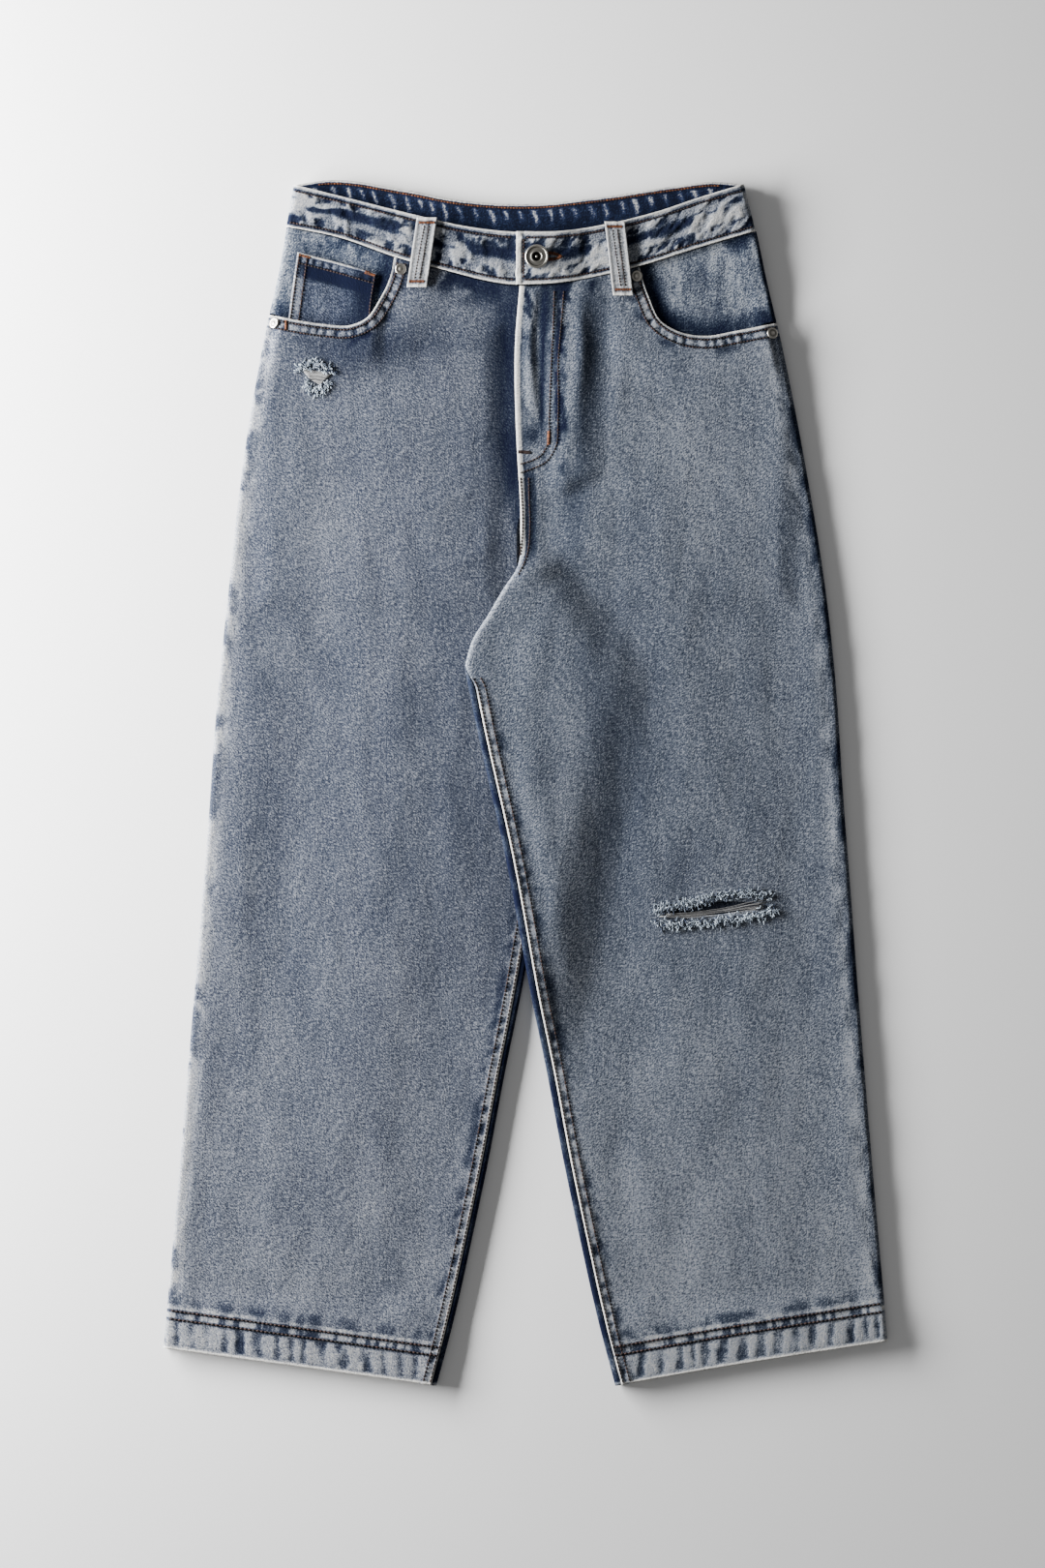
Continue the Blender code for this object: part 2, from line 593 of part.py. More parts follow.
for hand, top, bottom in (("right", (-78.5, 448.6), (-86.6, 393.5)),
                          ("left", (70.5, 445.4), (77.2, 387))):
    laid("belt_loop_front_" + hand, loop_plan(top, bottom), 9, 3,
         lambda x, y: waist_top(x, y) + LOOP + 2 * GAP, pale_denim, wall=LOOP)
for place, x in (("side_right", -98), ("back", 2), ("side_left", 104)):
    high = band_low_back(x) + BACK_LOOP_ABOVE
    laid("belt_loop_" + place, loop_plan((x, high), (x, high - BACK_LOOP_LENGTH)), 3, 3,
         lambda x, y: 0 * x, pale_denim, wall=LOOP, upper=False)

# Patch pockets under the back panels.
for hand, sign in (("right", -1), ("left", 1)):
    plan = patch(
        smooth([(sign * 187, 331), (sign * 48, 338)]), smooth([(sign * 187, 331), (sign * 180, 190)]),
        smooth([(sign * 180, 190), (sign * 117, 170), (sign * 55, 194)]),
        smooth([(sign * 48, 338), (sign * 55, 194)]),
    )
    laid("back_pocket_" + hand, plan, 5, 5, lambda x, y: 0 * x, denim, upper=False)

# Button, on the left end of the waistband, and rivets at the ends of the pocket mouths.
RIVET_PLACES = {
    "waist_right": (-99.5, 408.0), "waist_left": (88.2, 402.4),
    "side_right": (-199.6, 365.0), "side_left": (195.6, 357.0),
}
SLOPE_STEP = 2.5  # either side of a rivet, for the slope of the cloth under it
R = BUTTON_DIAMETER / 2
BUTTON_PROFILE = [
    (0, 0), (3.6, 0), (3.6, 0.9), (R - 1.4, 0.9), (R - 0.3, 1.4), (R, 2.2), (R - 0.3, 3.0),
    (R - 1.2, 3.5), (R - 2.1, 3.1), (R - 2.8, 2.6), (4.0, 2.6), (3.4, 1.7), (1.3, 1.7),
    (0.9, 2.3), (0, 2.5),
]
button_place = (8.6, 417.5, BAND_LIFT + BAND_TUBE + BAND_LAP_LIFT + GAP)
turned("button", BUTTON_PROFILE, 24, button_place, (0, 0, 1), nickel)

r = RIVET_DIAMETER / 2
RIVET_PROFILE = [(0, 0), (r, 0), (r, 0.5), (r - 0.7, 1.0), (r - 1.7, 1.1), (r - 2.4, 0.9),
                 (1.0, 1.0), (0, 1.4)]
for place, (x, y) in RIVET_PLACES.items():
    slope_x = (front_top(x + SLOPE_STEP, y) - front_top(x - SLOPE_STEP, y)) / (2 * SLOPE_STEP)
    slope_y = (front_top(x, y + SLOPE_STEP) - front_top(x, y - SLOPE_STEP)) / (2 * SLOPE_STEP)
    normal = Vector((-slope_x, -slope_y, 1)).normalized()
    seat = Vector((x, y, float(front_top(x, y)))) + normal * (GAP + 0.3)
    turned("rivet_" + place, RIVET_PROFILE, 12, seat, normal, nickel)
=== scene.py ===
"""Ripped wide-leg jeans in stone-washed denim, lying flat with the front up.

All lengths are in millimetres until a mesh is made. +X is the wearer's left, +Y is
towards the waist and +Z is up from the surface. After the cloth and how it is cut come
the legs, yokes, pockets, fly, waistband and loops, and then what goes on or through them:
thread, rips, metal and zip. The studio is last.
"""

import math

import bpy
import numpy as np
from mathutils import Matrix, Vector
from mathutils.bvhtree import BVHTree


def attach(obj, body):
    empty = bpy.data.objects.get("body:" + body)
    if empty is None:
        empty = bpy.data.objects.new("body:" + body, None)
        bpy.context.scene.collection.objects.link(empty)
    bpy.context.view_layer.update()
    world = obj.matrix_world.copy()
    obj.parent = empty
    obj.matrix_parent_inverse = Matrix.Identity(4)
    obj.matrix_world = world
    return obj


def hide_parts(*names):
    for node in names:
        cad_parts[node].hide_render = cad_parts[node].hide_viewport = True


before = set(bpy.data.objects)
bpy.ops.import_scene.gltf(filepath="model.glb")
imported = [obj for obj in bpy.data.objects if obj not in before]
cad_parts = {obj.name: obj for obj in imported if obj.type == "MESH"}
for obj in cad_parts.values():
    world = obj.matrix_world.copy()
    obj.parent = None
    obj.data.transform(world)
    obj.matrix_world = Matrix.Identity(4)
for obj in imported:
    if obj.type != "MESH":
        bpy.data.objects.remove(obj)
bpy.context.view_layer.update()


# ---------------------------------------------------------------------------------
# Denim. Cotton twill: indigo warp yarns over an undyed weft, stone-washed until the
# raised yarns are grey-white, with the indigo left in hollows and beside each seam.
# ---------------------------------------------------------------------------------
MM = 0.001
CLOTH = 1.2  # wall of the washed denim
WARP_YARN = 1.05  # drawn about twice as coarse as the real yarn, or it would not show
BARE_WEFT, UNFADED = "#CDCBC6", "#0A0F22"
WORN_LIFT, BLUE_DROP = 0.85, 0.95  # what a full worn or blue share adds to the yarns' sum
RAMP_FROM, RAMP_SPAN = -0.5, 2.5
TWILL_RUN, TWILL_TURN = 3.4, 52  # one diagonal float's length, as coarse, and its slope in degrees
YARNS = [  # width, length, whether it follows the diagonal, share of the sum, octaves
    (WARP_YARN, WARP_YARN * 1.3, 0, 1.7, 2.0),  # warp yarns where they come to the face
    (WARP_YARN * 0.75, TWILL_RUN, 1, 1.25, 1.0),  # the twill's ribs
    (WARP_YARN, 9.0, 0, 0.6, 2.0),  # slubs in the warp
    (8.0, WARP_YARN, 0, 0.4, 2.0),  # slubs in the weft
    (38.0, 60.0, 0, 0.4, 3.0),  # clouds left by the wash
]


def linear(code):
    """A hex sRGB colour as linear RGBA."""
    parts = [int(code[i:i + 2], 16) / 255 for i in (1, 3, 5)]
    return (*[c / 12.92 if c <= 0.04045 else ((c + 0.055) / 1.055) ** 2.4 for c in parts], 1)


def add(tree, kind, links, out=0, **settings):
    """Adds a node with its settings and gives one of its outputs.

    links gives each input a value or another node's output.
    """
    node = tree.nodes.new(kind)
    for name, value in settings.items():
        setattr(node, name, value)
    for name, source in links.items():
        if isinstance(source, bpy.types.NodeSocket):
            tree.links.new(source, node.inputs[name])
        else:
            node.inputs[name].default_value = source
    return node.outputs[out]


def graded(tree, factor, steps):
    """A colour from a ramp of (position, hex colour) steps."""
    ramp = tree.nodes.new("ShaderNodeValToRGB")
    stops = ramp.color_ramp.elements
    stops[0].position, stops[1].position = steps[0][0], steps[-1][0]
    stops[0].color, stops[1].color = linear(steps[0][1]), linear(steps[-1][1])
    for at, colour in steps[1:-1]:
        stops.new(at).color = linear(colour)
    tree.links.new(factor, ramp.inputs["Fac"])
    return ramp.outputs["Color"]


def blank(name, roughness, metallic=0.0):
    """A material with its tree and its Principled shader."""
    made = bpy.data.materials.new(name)
    made.use_nodes = True
    shader = made.node_tree.nodes["Principled BSDF"]
    shader.inputs["Roughness"].default_value = roughness
    shader.inputs["Metallic"].default_value = metallic
    return made, made.node_tree, shader


def twill(name, pale, middle, deep, lean, worn="#8F9091", marks=("worn", "indigo")):
    """Washed twill on a piece's own cut, in metres.

    The yarns are noise drawn out along the warp, along the weft and along the twill's
    diagonal, summed round 0.5; lean is the side that the diagonal falls to. The piece's
    tone and worn share lift that sum and its blue share lowers it, and one ramp turns it
    to colour: unfaded indigo, the three tones of the wash, worn yarn and bare weft. On
    some pieces these shares also carry painted light and shade.
    """
    made, tree, shader = blank(name, 0.95)
    shader.inputs["Specular IOR Level"].default_value = 0.06
    cut = add(tree, "ShaderNodeUVMap", {}, uv_map="cut")
    total = 0.5
    for across, along, diagonal, share, detail in YARNS:
        turned = add(tree, "ShaderNodeMapping", {
            "Vector": cut, "Rotation": (0, 0, math.radians(TWILL_TURN * lean * diagonal)),
        })
        drawn = add(tree, "ShaderNodeVectorMath", {
            0: turned, 1: (1 / (across * MM), 1 / (along * MM), 1),
        }, operation="MULTIPLY")
        yarn = add(tree, "ShaderNodeTexNoise", {
            "Vector": drawn, "Scale": 1.0, "Detail": detail, "Roughness": 0.6,
        })
        swing = add(tree, "ShaderNodeMath", {0: yarn, 1: 0.5}, operation="SUBTRACT")
        total = add(tree, "ShaderNodeMath", {0: swing, 1: share, 2: total},
                    operation="MULTIPLY_ADD")
    value = total
    for attribute, lift in (("tone", 1.0), (marks[0], WORN_LIFT), (marks[1], -BLUE_DROP)):
        amount = add(tree, "ShaderNodeAttribute", {}, "Fac", attribute_name=attribute)
        value = add(tree, "ShaderNodeMath", {0: amount, 1: lift, 2: value},
                    operation="MULTIPLY_ADD")
    scaled = add(tree, "ShaderNodeMath", {0: value, 1: 1 / RAMP_SPAN, 2: -RAMP_FROM / RAMP_SPAN},
                 operation="MULTIPLY_ADD")
    wash = ((-0.3, UNFADED), (0.12, deep), (0.5, middle), (0.88, pale), (1.2, worn),
            (1.75, BARE_WEFT))
    colour = graded(tree, scaled, [((at - RAMP_FROM) / RAMP_SPAN, code) for at, code in wash])
    tree.links.new(colour, shader.inputs["Base Color"])
    relief = add(tree, "ShaderNodeBump", {"Height": total, "Strength": 0.5, "Distance": 0.35 * MM})
    tree.links.new(relief, shader.inputs["Normal"])
    return made


# One denim for both legs. The wearer's left copy is painted lighter: painted light that makes up
# for the key light falling off towards that side.
denim_right = twill("stone_washed_denim_right", "#71757E", "#3A3F4A", "#1D2331", -1)
denim_left = twill("stone_washed_denim_left", "#80858E", "#434954", "#222936", 1)
denim_inside = twill("denim_wrong_side", "#5E626A", "#333844", "#191F2C", 1)
HANDS = (("right", -1), ("left", 1))  # the wearer's, and the side of x = 0 that each is on
LEG_DENIM = {"right": [denim_right, denim_inside], "left": [denim_left, denim_inside]}


# ---------------------------------------------------------------------------------
# Cutting. Each piece is a surface over its outline in plan, one open sheet of points
# on the outer face, and Solidify gives it its wall; the cut's own plan is its UV map.
# ---------------------------------------------------------------------------------
def smooth(points, count=120):
    """Points on a cubic curve through the given ones, its slopes from their neighbours."""
    given = np.array(points, float)
    at = np.concatenate([[0], np.cumsum(np.hypot(*np.diff(given, axis=0).T))])
    slope = np.gradient(given, at, axis=0)
    asked = np.linspace(0, at[-1], count)
    i = np.clip(np.searchsorted(at, asked, "right") - 1, 0, len(at) - 2)
    span = (at[i + 1] - at[i])[:, None]
    t = (asked - at[i])[:, None] / span
    start = (1 + 2 * t) * (1 - t) ** 2 * given[i] + t * (1 - t) ** 2 * span * slope[i]
    end = t**2 * (3 - 2 * t) * given[i + 1] + t**2 * (t - 1) * span * slope[i + 1]
    return start + end


def path(*runs):
    """Smooth runs joined end to end, with a corner at each join."""
    return np.vstack([smooth(run) for run in runs])


def along(route, share):
    """The point at each share, 0 to 1, of a route's length."""
    at = np.concatenate([[0], np.cumsum(np.hypot(*np.diff(route, axis=0).T))])
    asked = np.asarray(share) * at[-1]
    return np.stack([np.interp(asked, at, route[:, k]) for k in (0, 1)], -1)


def by_height(points):
    """A value that varies with y, read from a smooth curve through (y, value) pairs."""
    curve = smooth(points)[::-1]
    return lambda y: np.interp(y, curve[:, 0], curve[:, 1])


def by_width(points):
    """A height y that varies with x, read from a smooth curve through (x, y) pairs."""
    curve = smooth(points)
    return lambda x: np.interp(x, curve[:, 0], curve[:, 1])


def ease(value, start, end):
    """0 before start and 1 past end, with a smooth step between; start may be the larger."""
    t = np.clip((value - start) / (end - start), 0, 1)
    return t * t * (3 - 2 * t)


def band(value, first, last, soft):
    """1 between first and last, falling to 0 over a soft width on either side."""
    return ease(value, first - soft, first) * (1 - ease(value, last, last + soft))


def beside(x, y, route):
    """How far each point in plan lies from a route, and how far along the route that is."""
    gap, run, passed = x * 0 + 1e9, x * 0.0, 0.0
    for (ax, ay), (bx, by) in zip(route[:-1], route[1:]):
        dx, dy = bx - ax, by - ay
        size = math.hypot(dx, dy)
        if size < 1e-9:
            continue
        t = np.clip(((x - ax) * dx + (y - ay) * dy) / size**2, 0, 1)
        here = np.hypot(x - ax - t * dx, y - ay - t * dy)
        run = np.where(here < gap, passed + t * size, run)
        gap = np.minimum(here, gap)
        passed += size
    return gap, run


def clouds(x, y, width, height, seed):
    """Smooth random values from 0 to 1, of a width and height.

    The sum of three lattices of random numbers, each eased between its points, each
    turned another way and each half as wide as the one before.
    """
    table = np.random.default_rng(seed).random((64, 64))
    a, b = np.broadcast_arrays(x / width, y / height)
    total = 0.0
    for size, share, turn in ((1.0, 0.58, 0.5), (0.5, 0.28, -0.7), (0.25, 0.14, 1.2)):
        c = (a * math.cos(turn) - b * math.sin(turn)) / size + 640
        d = (a * math.sin(turn) + b * math.cos(turn)) / size + 640
        i, j = np.floor(c).astype(int), np.floor(d).astype(int)
        s, t = ease(c - i, 0, 1), ease(d - j, 0, 1)
        i, j, k, m = i % 64, j % 64, (i + 1) % 64, (j + 1) % 64
        low = table[i, j] * (1 - s) + table[k, j] * s
        total = total + share * (low * (1 - t) + (table[i, m] * (1 - s) + table[k, m] * s) * t)
    return np.clip(0.5 + 1.5 * (total - 0.5), 0, 1)


def patch(top, outer, bottom, inner):
    """A Coons surface in plan. u runs from the outer edge to the inner, v from top to bottom."""
    def at(u, v):
        u, v = np.broadcast_arrays(u, v)
        across, down = u[..., None], v[..., None]
        sides = (1 - across) * along(outer, v) + across * along(inner, v)
        ends = (1 - down) * along(top, u) + down * along(bottom, u)
        corners = (
            (1 - across) * (1 - down) * top[0] + across * (1 - down) * top[-1]
            + (1 - across) * down * bottom[0] + across * down * bottom[-1]
        )
        return sides + ends - corners
    return at


def mesh_of(name, points, faces, finish):
    """A smooth mesh object from points in mm, a list of faces and its materials."""
    mesh = bpy.data.meshes.new(name)
    mesh.from_pydata((points * MM).tolist(), [], faces)
    mesh.shade_smooth()
    for one in finish:
        mesh.materials.append(one)
    obj = bpy.data.objects.new(name, mesh)
    bpy.context.scene.collection.objects.link(obj)
    return obj


def mark(obj, name, values):
    """Stores one number for each point, which the materials read by name."""
    made = obj.data.attributes.new(name, "FLOAT", "POINT")
    made.data.foreach_set("value", np.ascontiguousarray(values, np.float32).ravel())


faces_up, faces_down = {}, {}  # each piece's outer face by name, as a tree to lay thread on


def cloth(node, grid, finish, marks, wall=CLOTH, upper=True, doubled=None, slit=None,
          name=None):
    """The cloth of one solid, from a grid of points on its outer face; its wall goes inwards.

    marks are its named numbers at the points. doubled is 1 where the cloth is folded
    back on itself. slit is (row, first, last): that row and the next are one line of
    the cloth, torn open between two columns and whole outside them.
    """
    name = name or node + "_cloth"
    rows, columns = grid.shape[:2]
    index = np.arange(rows * columns).reshape(rows, columns)
    if slit:
        row, first, last = slit
        index[row + 1, :first + 1] = index[row, :first + 1]
        index[row + 1, last:] = index[row, last:]
    quads = np.stack([index[:-1, :-1], index[:-1, 1:], index[1:, 1:], index[1:, :-1]], -1)
    if slit:
        quads = np.delete(quads, row, axis=0)
    quads = quads.reshape(-1, 4)
    across = grid[rows // 2, -1] - grid[rows // 2, 0]
    down = grid[-1, columns // 2] - grid[0, columns // 2]
    if (np.cross(across, down)[2] > 0) != upper:
        quads = quads[:, ::-1]
    used, quads = np.unique(quads, return_inverse=True)
    quads = quads.reshape(-1, 4)
    points = grid.reshape(-1, 3)[used]
    obj = mesh_of(name, points, quads.tolist(), finish)
    for key in ("worn", "indigo", "tone"):
        mark(obj, key, (marks.get(key, 0) + 0 * grid[..., 0]).ravel()[used])
    run = np.hypot(*np.moveaxis(np.diff(grid[..., ::2], axis=1), -1, 0))
    run = np.hstack([np.zeros((rows, 1)), np.cumsum(run, axis=1)])
    middle = columns // 2
    sense = math.copysign(1, across[0])
    cut_x = sense * (run - run[:, middle:middle + 1]) + grid[:, middle:middle + 1, 0]
    cut = np.stack([cut_x, grid[..., 1]], -1).reshape(-1, 2)[used] * MM
    uv = obj.data.uv_layers.new(name="cut")
    uv.data.foreach_set("uv", cut[quads.ravel()].astype(np.float32).ravel())
    tree = BVHTree.FromPolygons(points.tolist(), quads.tolist())
    (faces_up if upper else faces_down)[name] = tree
    thick = obj.modifiers.new("Wall", "SOLIDIFY")
    thick.offset = -1
    thick.thickness = wall * MM
    if len(finish) > 1:
        thick.material_offset = 1
    if doubled is not None:
        thick.thickness = 2 * wall * MM
        group = obj.vertex_groups.new(name="doubled")
        share = 0.5 + 0.5 * np.round(doubled.ravel()[used], 1)
        for level in np.unique(share):
            group.add(np.flatnonzero(share == level).tolist(), float(level), "REPLACE")
        thick.vertex_group = group.name
    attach(obj, "root")
    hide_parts(node)
    return obj


# ---------------------------------------------------------------------------------
# The flattened legs. Two tubes, each a back piece on the surface and a front piece on
# it. The sides are rolled edges, and above the crotch the left leg lies on the right.
# ---------------------------------------------------------------------------------
GAP = 0.3  # between pieces at a seam
EDGE_RADIUS, PRESSED_RADIUS = 3.0, 2.1  # of a leg's rolled edge, and where a leg lies on it
TUBE, HEM_TUBE, HEM_DEPTH = 4.4, 6.8, 25.0  # a leg's height, its height at the hem, the hem
ROLL = 25.0  # how far in from its rolled edge a tube settles to its own height
BAND_TUBE, BAND_RADIUS, BAND_LIFT = 7.4, 4.2, 2.7
# How far a piece is lifted by what lies under it.
WAIST_LIFT, POCKET_LIFT, CROSSING_LIFT = 2.9, 1.8, 5.8
FLY_LIFT, LAP_LIFT, BAND_LAP_LIFT = 3.4, 1.8, 2.95
MOUTH_LIFT, COIN_LIFT = 2.1, 1.9
# Heights on the leg: where the crotch's fold starts and is full, the inseam's own top,
# the last point where the legs cross, and where the hem starts and is full at the side
# seam, at the inseam and between them.
FOLD_TOP, FOLD_FULL, INSEAM_TOP, CROSSING_END = 190.0, 166.0, 98.0, -150.0
HEM_SIDE, HEM_INSEAM, HEM_BETWEEN = (-395, -420), (-420, -445), (-405, -432)
HEM_ROWS, MOUTH_ROWS = (24.0, 30.5), (3.2, 9.6)  # stitch rows, from the fold's edge
PATCH_CENTRE, PATCH_HALF = (117, 252), (78, 94)  # a back pocket, with its edges' slope
SIDE_TOP = {-1: (-197.2, -190.6), 1: (191.6, 182.6)}  # side seam at the yoke's low edge and top

HALF_WIDTH = [
    (479, 178.5), (439, 186.8), (407, 192.9), (361, 203.6), (315, 212.9),
    (253, 223.7), (192, 232.5), (84, 244.9), (-39, 253.7), (-178, 264.9),
    (-316, 276.4), (-449, 288.3),
]
LEAN = [(479, -5.8), (439, -3.8), (361, -3.0), (253, -1.5), (160, 0.8), (0, 0.6),
        (-200, 0.2), (-449, 0.0)]
INSEAM = [(-48.8, 92), (-41, 53), (-14, -70), (-5, -118.6), (2, -158), (17, -232),
          (30, -301), (43, -363), (56.6, -424), (71, -479)]
FOLD = [(-6.8, 171.7), (-18.1, 154), (-31.2, 131.7), (-42.7, 113.2), (-48.8, 92)]
HIDDEN_CROTCH = [(-1, 165), (12, 140), (30, 112), (43, 84), (41, 53)]
BAND_TOP_FRONT = [(-184.6, 474.4), (-140, 464), (-88, 451), (-45, 441.5), (-6.5, 437.4),
                  (28, 438), (63, 443.5), (104, 453.5), (140, 465.5), (173.4, 475)]
BAND_LOW_FRONT = [(-190.6, 441.8), (-152, 434.3), (-96, 415.4), (-70.5, 408.9),
                  (-6.5, 395.8), (25, 397), (65, 404.3), (90, 410.4), (136, 424.8),
                  (182.6, 438.4)]
BAND_LOW_BACK = [(-190.6, 441.8), (-150, 438), (-98, 431), (-52, 423), (2, 420),
                 (56, 424.5), (117, 433), (148, 437), (182.6, 438.4)]
MOUTH_RIGHT = [(-204.3, 372), (-181.3, 367.3), (-159.4, 364.2), (-140.5, 363.4),
               (-128.5, 368), (-115.1, 385.8), (-107.5, 403), (-104.5, 417.6)]
MOUTH_LEFT = [(200.2, 365.4), (165.9, 358.8), (144, 355.2), (123.6, 358.1),
              (107.1, 368), (98.2, 385.8), (92.6, 402), (90.5, 410.1)]
FLY_EDGE = [(-5, 394.7), (-8.6, 349), (-8.2, 290), (-6.5, 254), (-5, 230), (-4.4, 205)]

half_width, lean = by_height(HALF_WIDTH), by_height(LEAN)
band_low_back, band_low_front = by_width(BAND_LOW_BACK), by_width(BAND_LOW_FRONT)
right_inner = by_height([(y, x) for x, y in HIDDEN_CROTCH] + [(y, -x) for x, y in INSEAM[2:]])
mouth_right, mouth_left = smooth(MOUTH_RIGHT), smooth(MOUTH_LEFT)


def side(sign, high, low):
    """The side seam's route between two heights, on the wearer's left for sign +1."""
    y = np.linspace(high, low, 90)
    return np.stack([sign * half_width(y) + lean(y), y], -1)


def patch_pocket(x, y):
    """1 over a back pocket and a margin round it, 0 away from it."""
    reach = np.maximum(np.abs(np.abs(x) - PATCH_CENTRE[0]) - PATCH_HALF[0],
                       np.abs(y - PATCH_CENTRE[1]) - PATCH_HALF[1])
    return 1 - ease(reach, 4, 26)


def base_right(x, y):
    """Height that the back lies at: up over the waistband's edge and over its patch pocket."""
    waist = WAIST_LIFT * (1 - ease(band_low_back(x) - y, 26, 74))
    return waist + POCKET_LIFT * patch_pocket(x, y)


def base_left(x, y):
    """As on the right, and up over the right leg where it lies on it."""
    near = 1 - ease(x - right_inner(y), 8, 62)
    crossing = ease(y, FOLD_TOP, FOLD_FULL) * (1 - ease(y, CROSSING_END, -235)) * near
    return np.maximum(base_right(x, y), CROSSING_LIFT * crossing)


def mouth_lift(x, y, mouth):
    """Lift of a front piece over its pocket facing."""
    return MOUTH_LIFT * (1 - ease(beside(x, y, mouth)[0], 24, 56))


def lift_right(x, y):
    """Lift of the right front, over its facing and the lower end of the coin pocket."""
    near = 1 - ease(beside(x, y, mouth_right)[0], 16, 44)
    return mouth_lift(x, y, mouth_right) + COIN_LIFT * ease(x, -110, -124) * near


def lift_left(x, y):
    """Lift of the left front, over its facing, the fly facing and the right front."""
    fly = ease(y, 224, 246)
    reach = 6 + 36 * fly
    centre = (LAP_LIFT + (FLY_LIFT - LAP_LIFT) * fly) * (1 - ease(x, reach, reach + 26))
    return mouth_lift(x, y, mouth_left) + centre * ease(y, 150, 176)


def side_edge(y):
    """Roll radius, the seam's place round the roll and the share of plain cut edge, by height."""
    return EDGE_RADIUS + 0.5 * ease(y, *HEM_SIDE), 0 * y, 0 * y


def inner_edge_left(y):
    """As side_edge, where the inseam is rolled to the front and there is none above it."""
    radius = EDGE_RADIUS + 0.5 * ease(y, *HEM_INSEAM)
    return radius, 7.0 * ease(y, INSEAM_TOP, INSEAM_TOP - 24), ease(y, FOLD_FULL, FOLD_TOP)


def inner_edge_right(y):
    """As on the left, pressed flatter where the left leg lies on it."""
    out = ease(y, CROSSING_END, CROSSING_END - 60)
    radius = PRESSED_RADIUS + (EDGE_RADIUS - PRESSED_RADIUS) * out
    return radius + 0.5 * ease(y, *HEM_INSEAM), 6.2 + 0 * y, ease(y, FOLD_FULL - 12, FOLD_TOP)


def cut_edge(y):
    """As side_edge, for an edge that isn't rolled."""
    return 1 + 0 * y, 0 * y, 1 + 0 * y


def leg_height(y):
    """A leg's flat height, doubled at the hem."""
    return TUBE + (HEM_TUBE - TUBE) * ease(y, *HEM_BETWEEN)


def rolled(edge, y, steps, upper, tube, wall):
    """Inset and height of points that lie the given steps along the cloth from an edge's seam.

    Round the roll they follow a half circle; past it they run in flat, and over the
    top they settle to the tube's flat height.
    """
    radius, seam, plain = (value[:, None] for value in edge(y))
    way = 1 if upper else -1
    hem = ease(y, *HEM_SIDE)[:, None]
    start = 0.6 * GAP + 0.42 * wall * (1 + hem) * (1 - ease(np.abs(seam), 2, 5))
    s = seam + way * (start + steps)
    turn = np.clip(s / radius, -math.pi / 2, math.pi / 2)
    past = np.maximum(np.abs(s) - radius * math.pi / 2, 0)
    inset = radius * (1 - np.cos(turn)) + past
    height = radius * (1 + np.sin(turn))
    flat = tube(y)[:, None]
    settle = (flat - 2 * radius) * (1 - np.exp(-((past / ROLL) ** 2)))
    height += np.where(s > 0, settle, 0)
    return (1 - plain) * inset + plain * steps, (1 - plain) * height + plain * flat * upper


def rolled_top(inset, y, radius, tube):
    """Height of a tube's upper face at an inset from its side."""
    lying = np.clip(1 - inset / radius, 0, 1)
    past = np.maximum(inset - radius, 0)
    settle = (tube(y) - 2 * radius) * (1 - np.exp(-((past / ROLL) ** 2)))
    return radius * (1 + np.sqrt(1 - lying**2)) + settle


def leg_top(x, y):
    """Height of a leg's upper face where nothing lifts it."""
    inset = half_width(y) - np.abs(x - lean(y))
    base = np.where(x < 0, base_right(x, y), base_left(x, y))
    return base + rolled_top(inset, y, EDGE_RADIUS, leg_height)


def front_top(x, y):
    """Height of a front piece's upper face."""
    inset = half_width(y) - np.abs(x - lean(y))
    lift = np.where(x < 0, lift_right(x, y), lift_left(x, y))
    return leg_top(x, y) + lift * ease(inset, 3, 10)


def shell(plan, rows, edges, steps, between, floor, tube=leg_height, lift=None, upper=True,
          wall=CLOTH):
    """The points of a piece of a flattened tube, and each one's way in from both side edges.

    Its columns lie at the given steps from each edge, and evenly between them.
    """
    y_first, y_last = plan(0.0, rows)[:, 1], plan(1.0, rows)[:, 1]
    width = np.hypot(*(plan(1.0, rows) - plan(0.0, rows)).T)[:, None]
    first_in, first_up = rolled(edges[0], y_first, np.array(steps[0]), upper, tube, wall)
    last_in, last_up = rolled(edges[1], y_last, np.array(steps[1]), upper, tube, wall)
    shares = np.linspace(0, 1, between + 2)[1:-1]
    start, end = first_in[:, -1:], width - last_in[:, -1:]
    flat = tube((y_first + y_last) / 2)[:, None] * upper
    ends = first_up[:, -1:] * (1 - shares) + last_up[:, -1:] * shares
    middle_up = flat + (ends - flat) * np.abs(2 * shares - 1) ** 3
    inset = np.hstack([first_in, start + (end - start) * shares, width - last_in[:, ::-1]])
    height = np.hstack([first_up, middle_up, last_up[:, ::-1]])
    plane = plan(inset / width, rows[:, None])
    x, y = plane[..., 0], plane[..., 1]
    if lift:
        plain = edges[1](y_last)[2][:, None]
        height += lift(x, y) * ease(np.minimum(inset, width - inset + 99 * plain), 3, 10)
    grid = np.dstack([x, y, floor(x, y) + height])
    ones = np.ones((len(rows), 1))
    from_first = np.hstack([ones * steps[0], steps[0][-1] + (end - start) * shares,
                            steps[0][-1] + end - start + steps[1][-1] - ones * steps[1][::-1]])
    from_last = from_first[:, -1:] - from_first
    return grid, from_first, from_last


def waist(start, end):
    """The front waist seam, just under the waistband's lower edge."""
    x = np.linspace(start, end, 60)
    return np.stack([x, band_low_front(x) - GAP], -1)


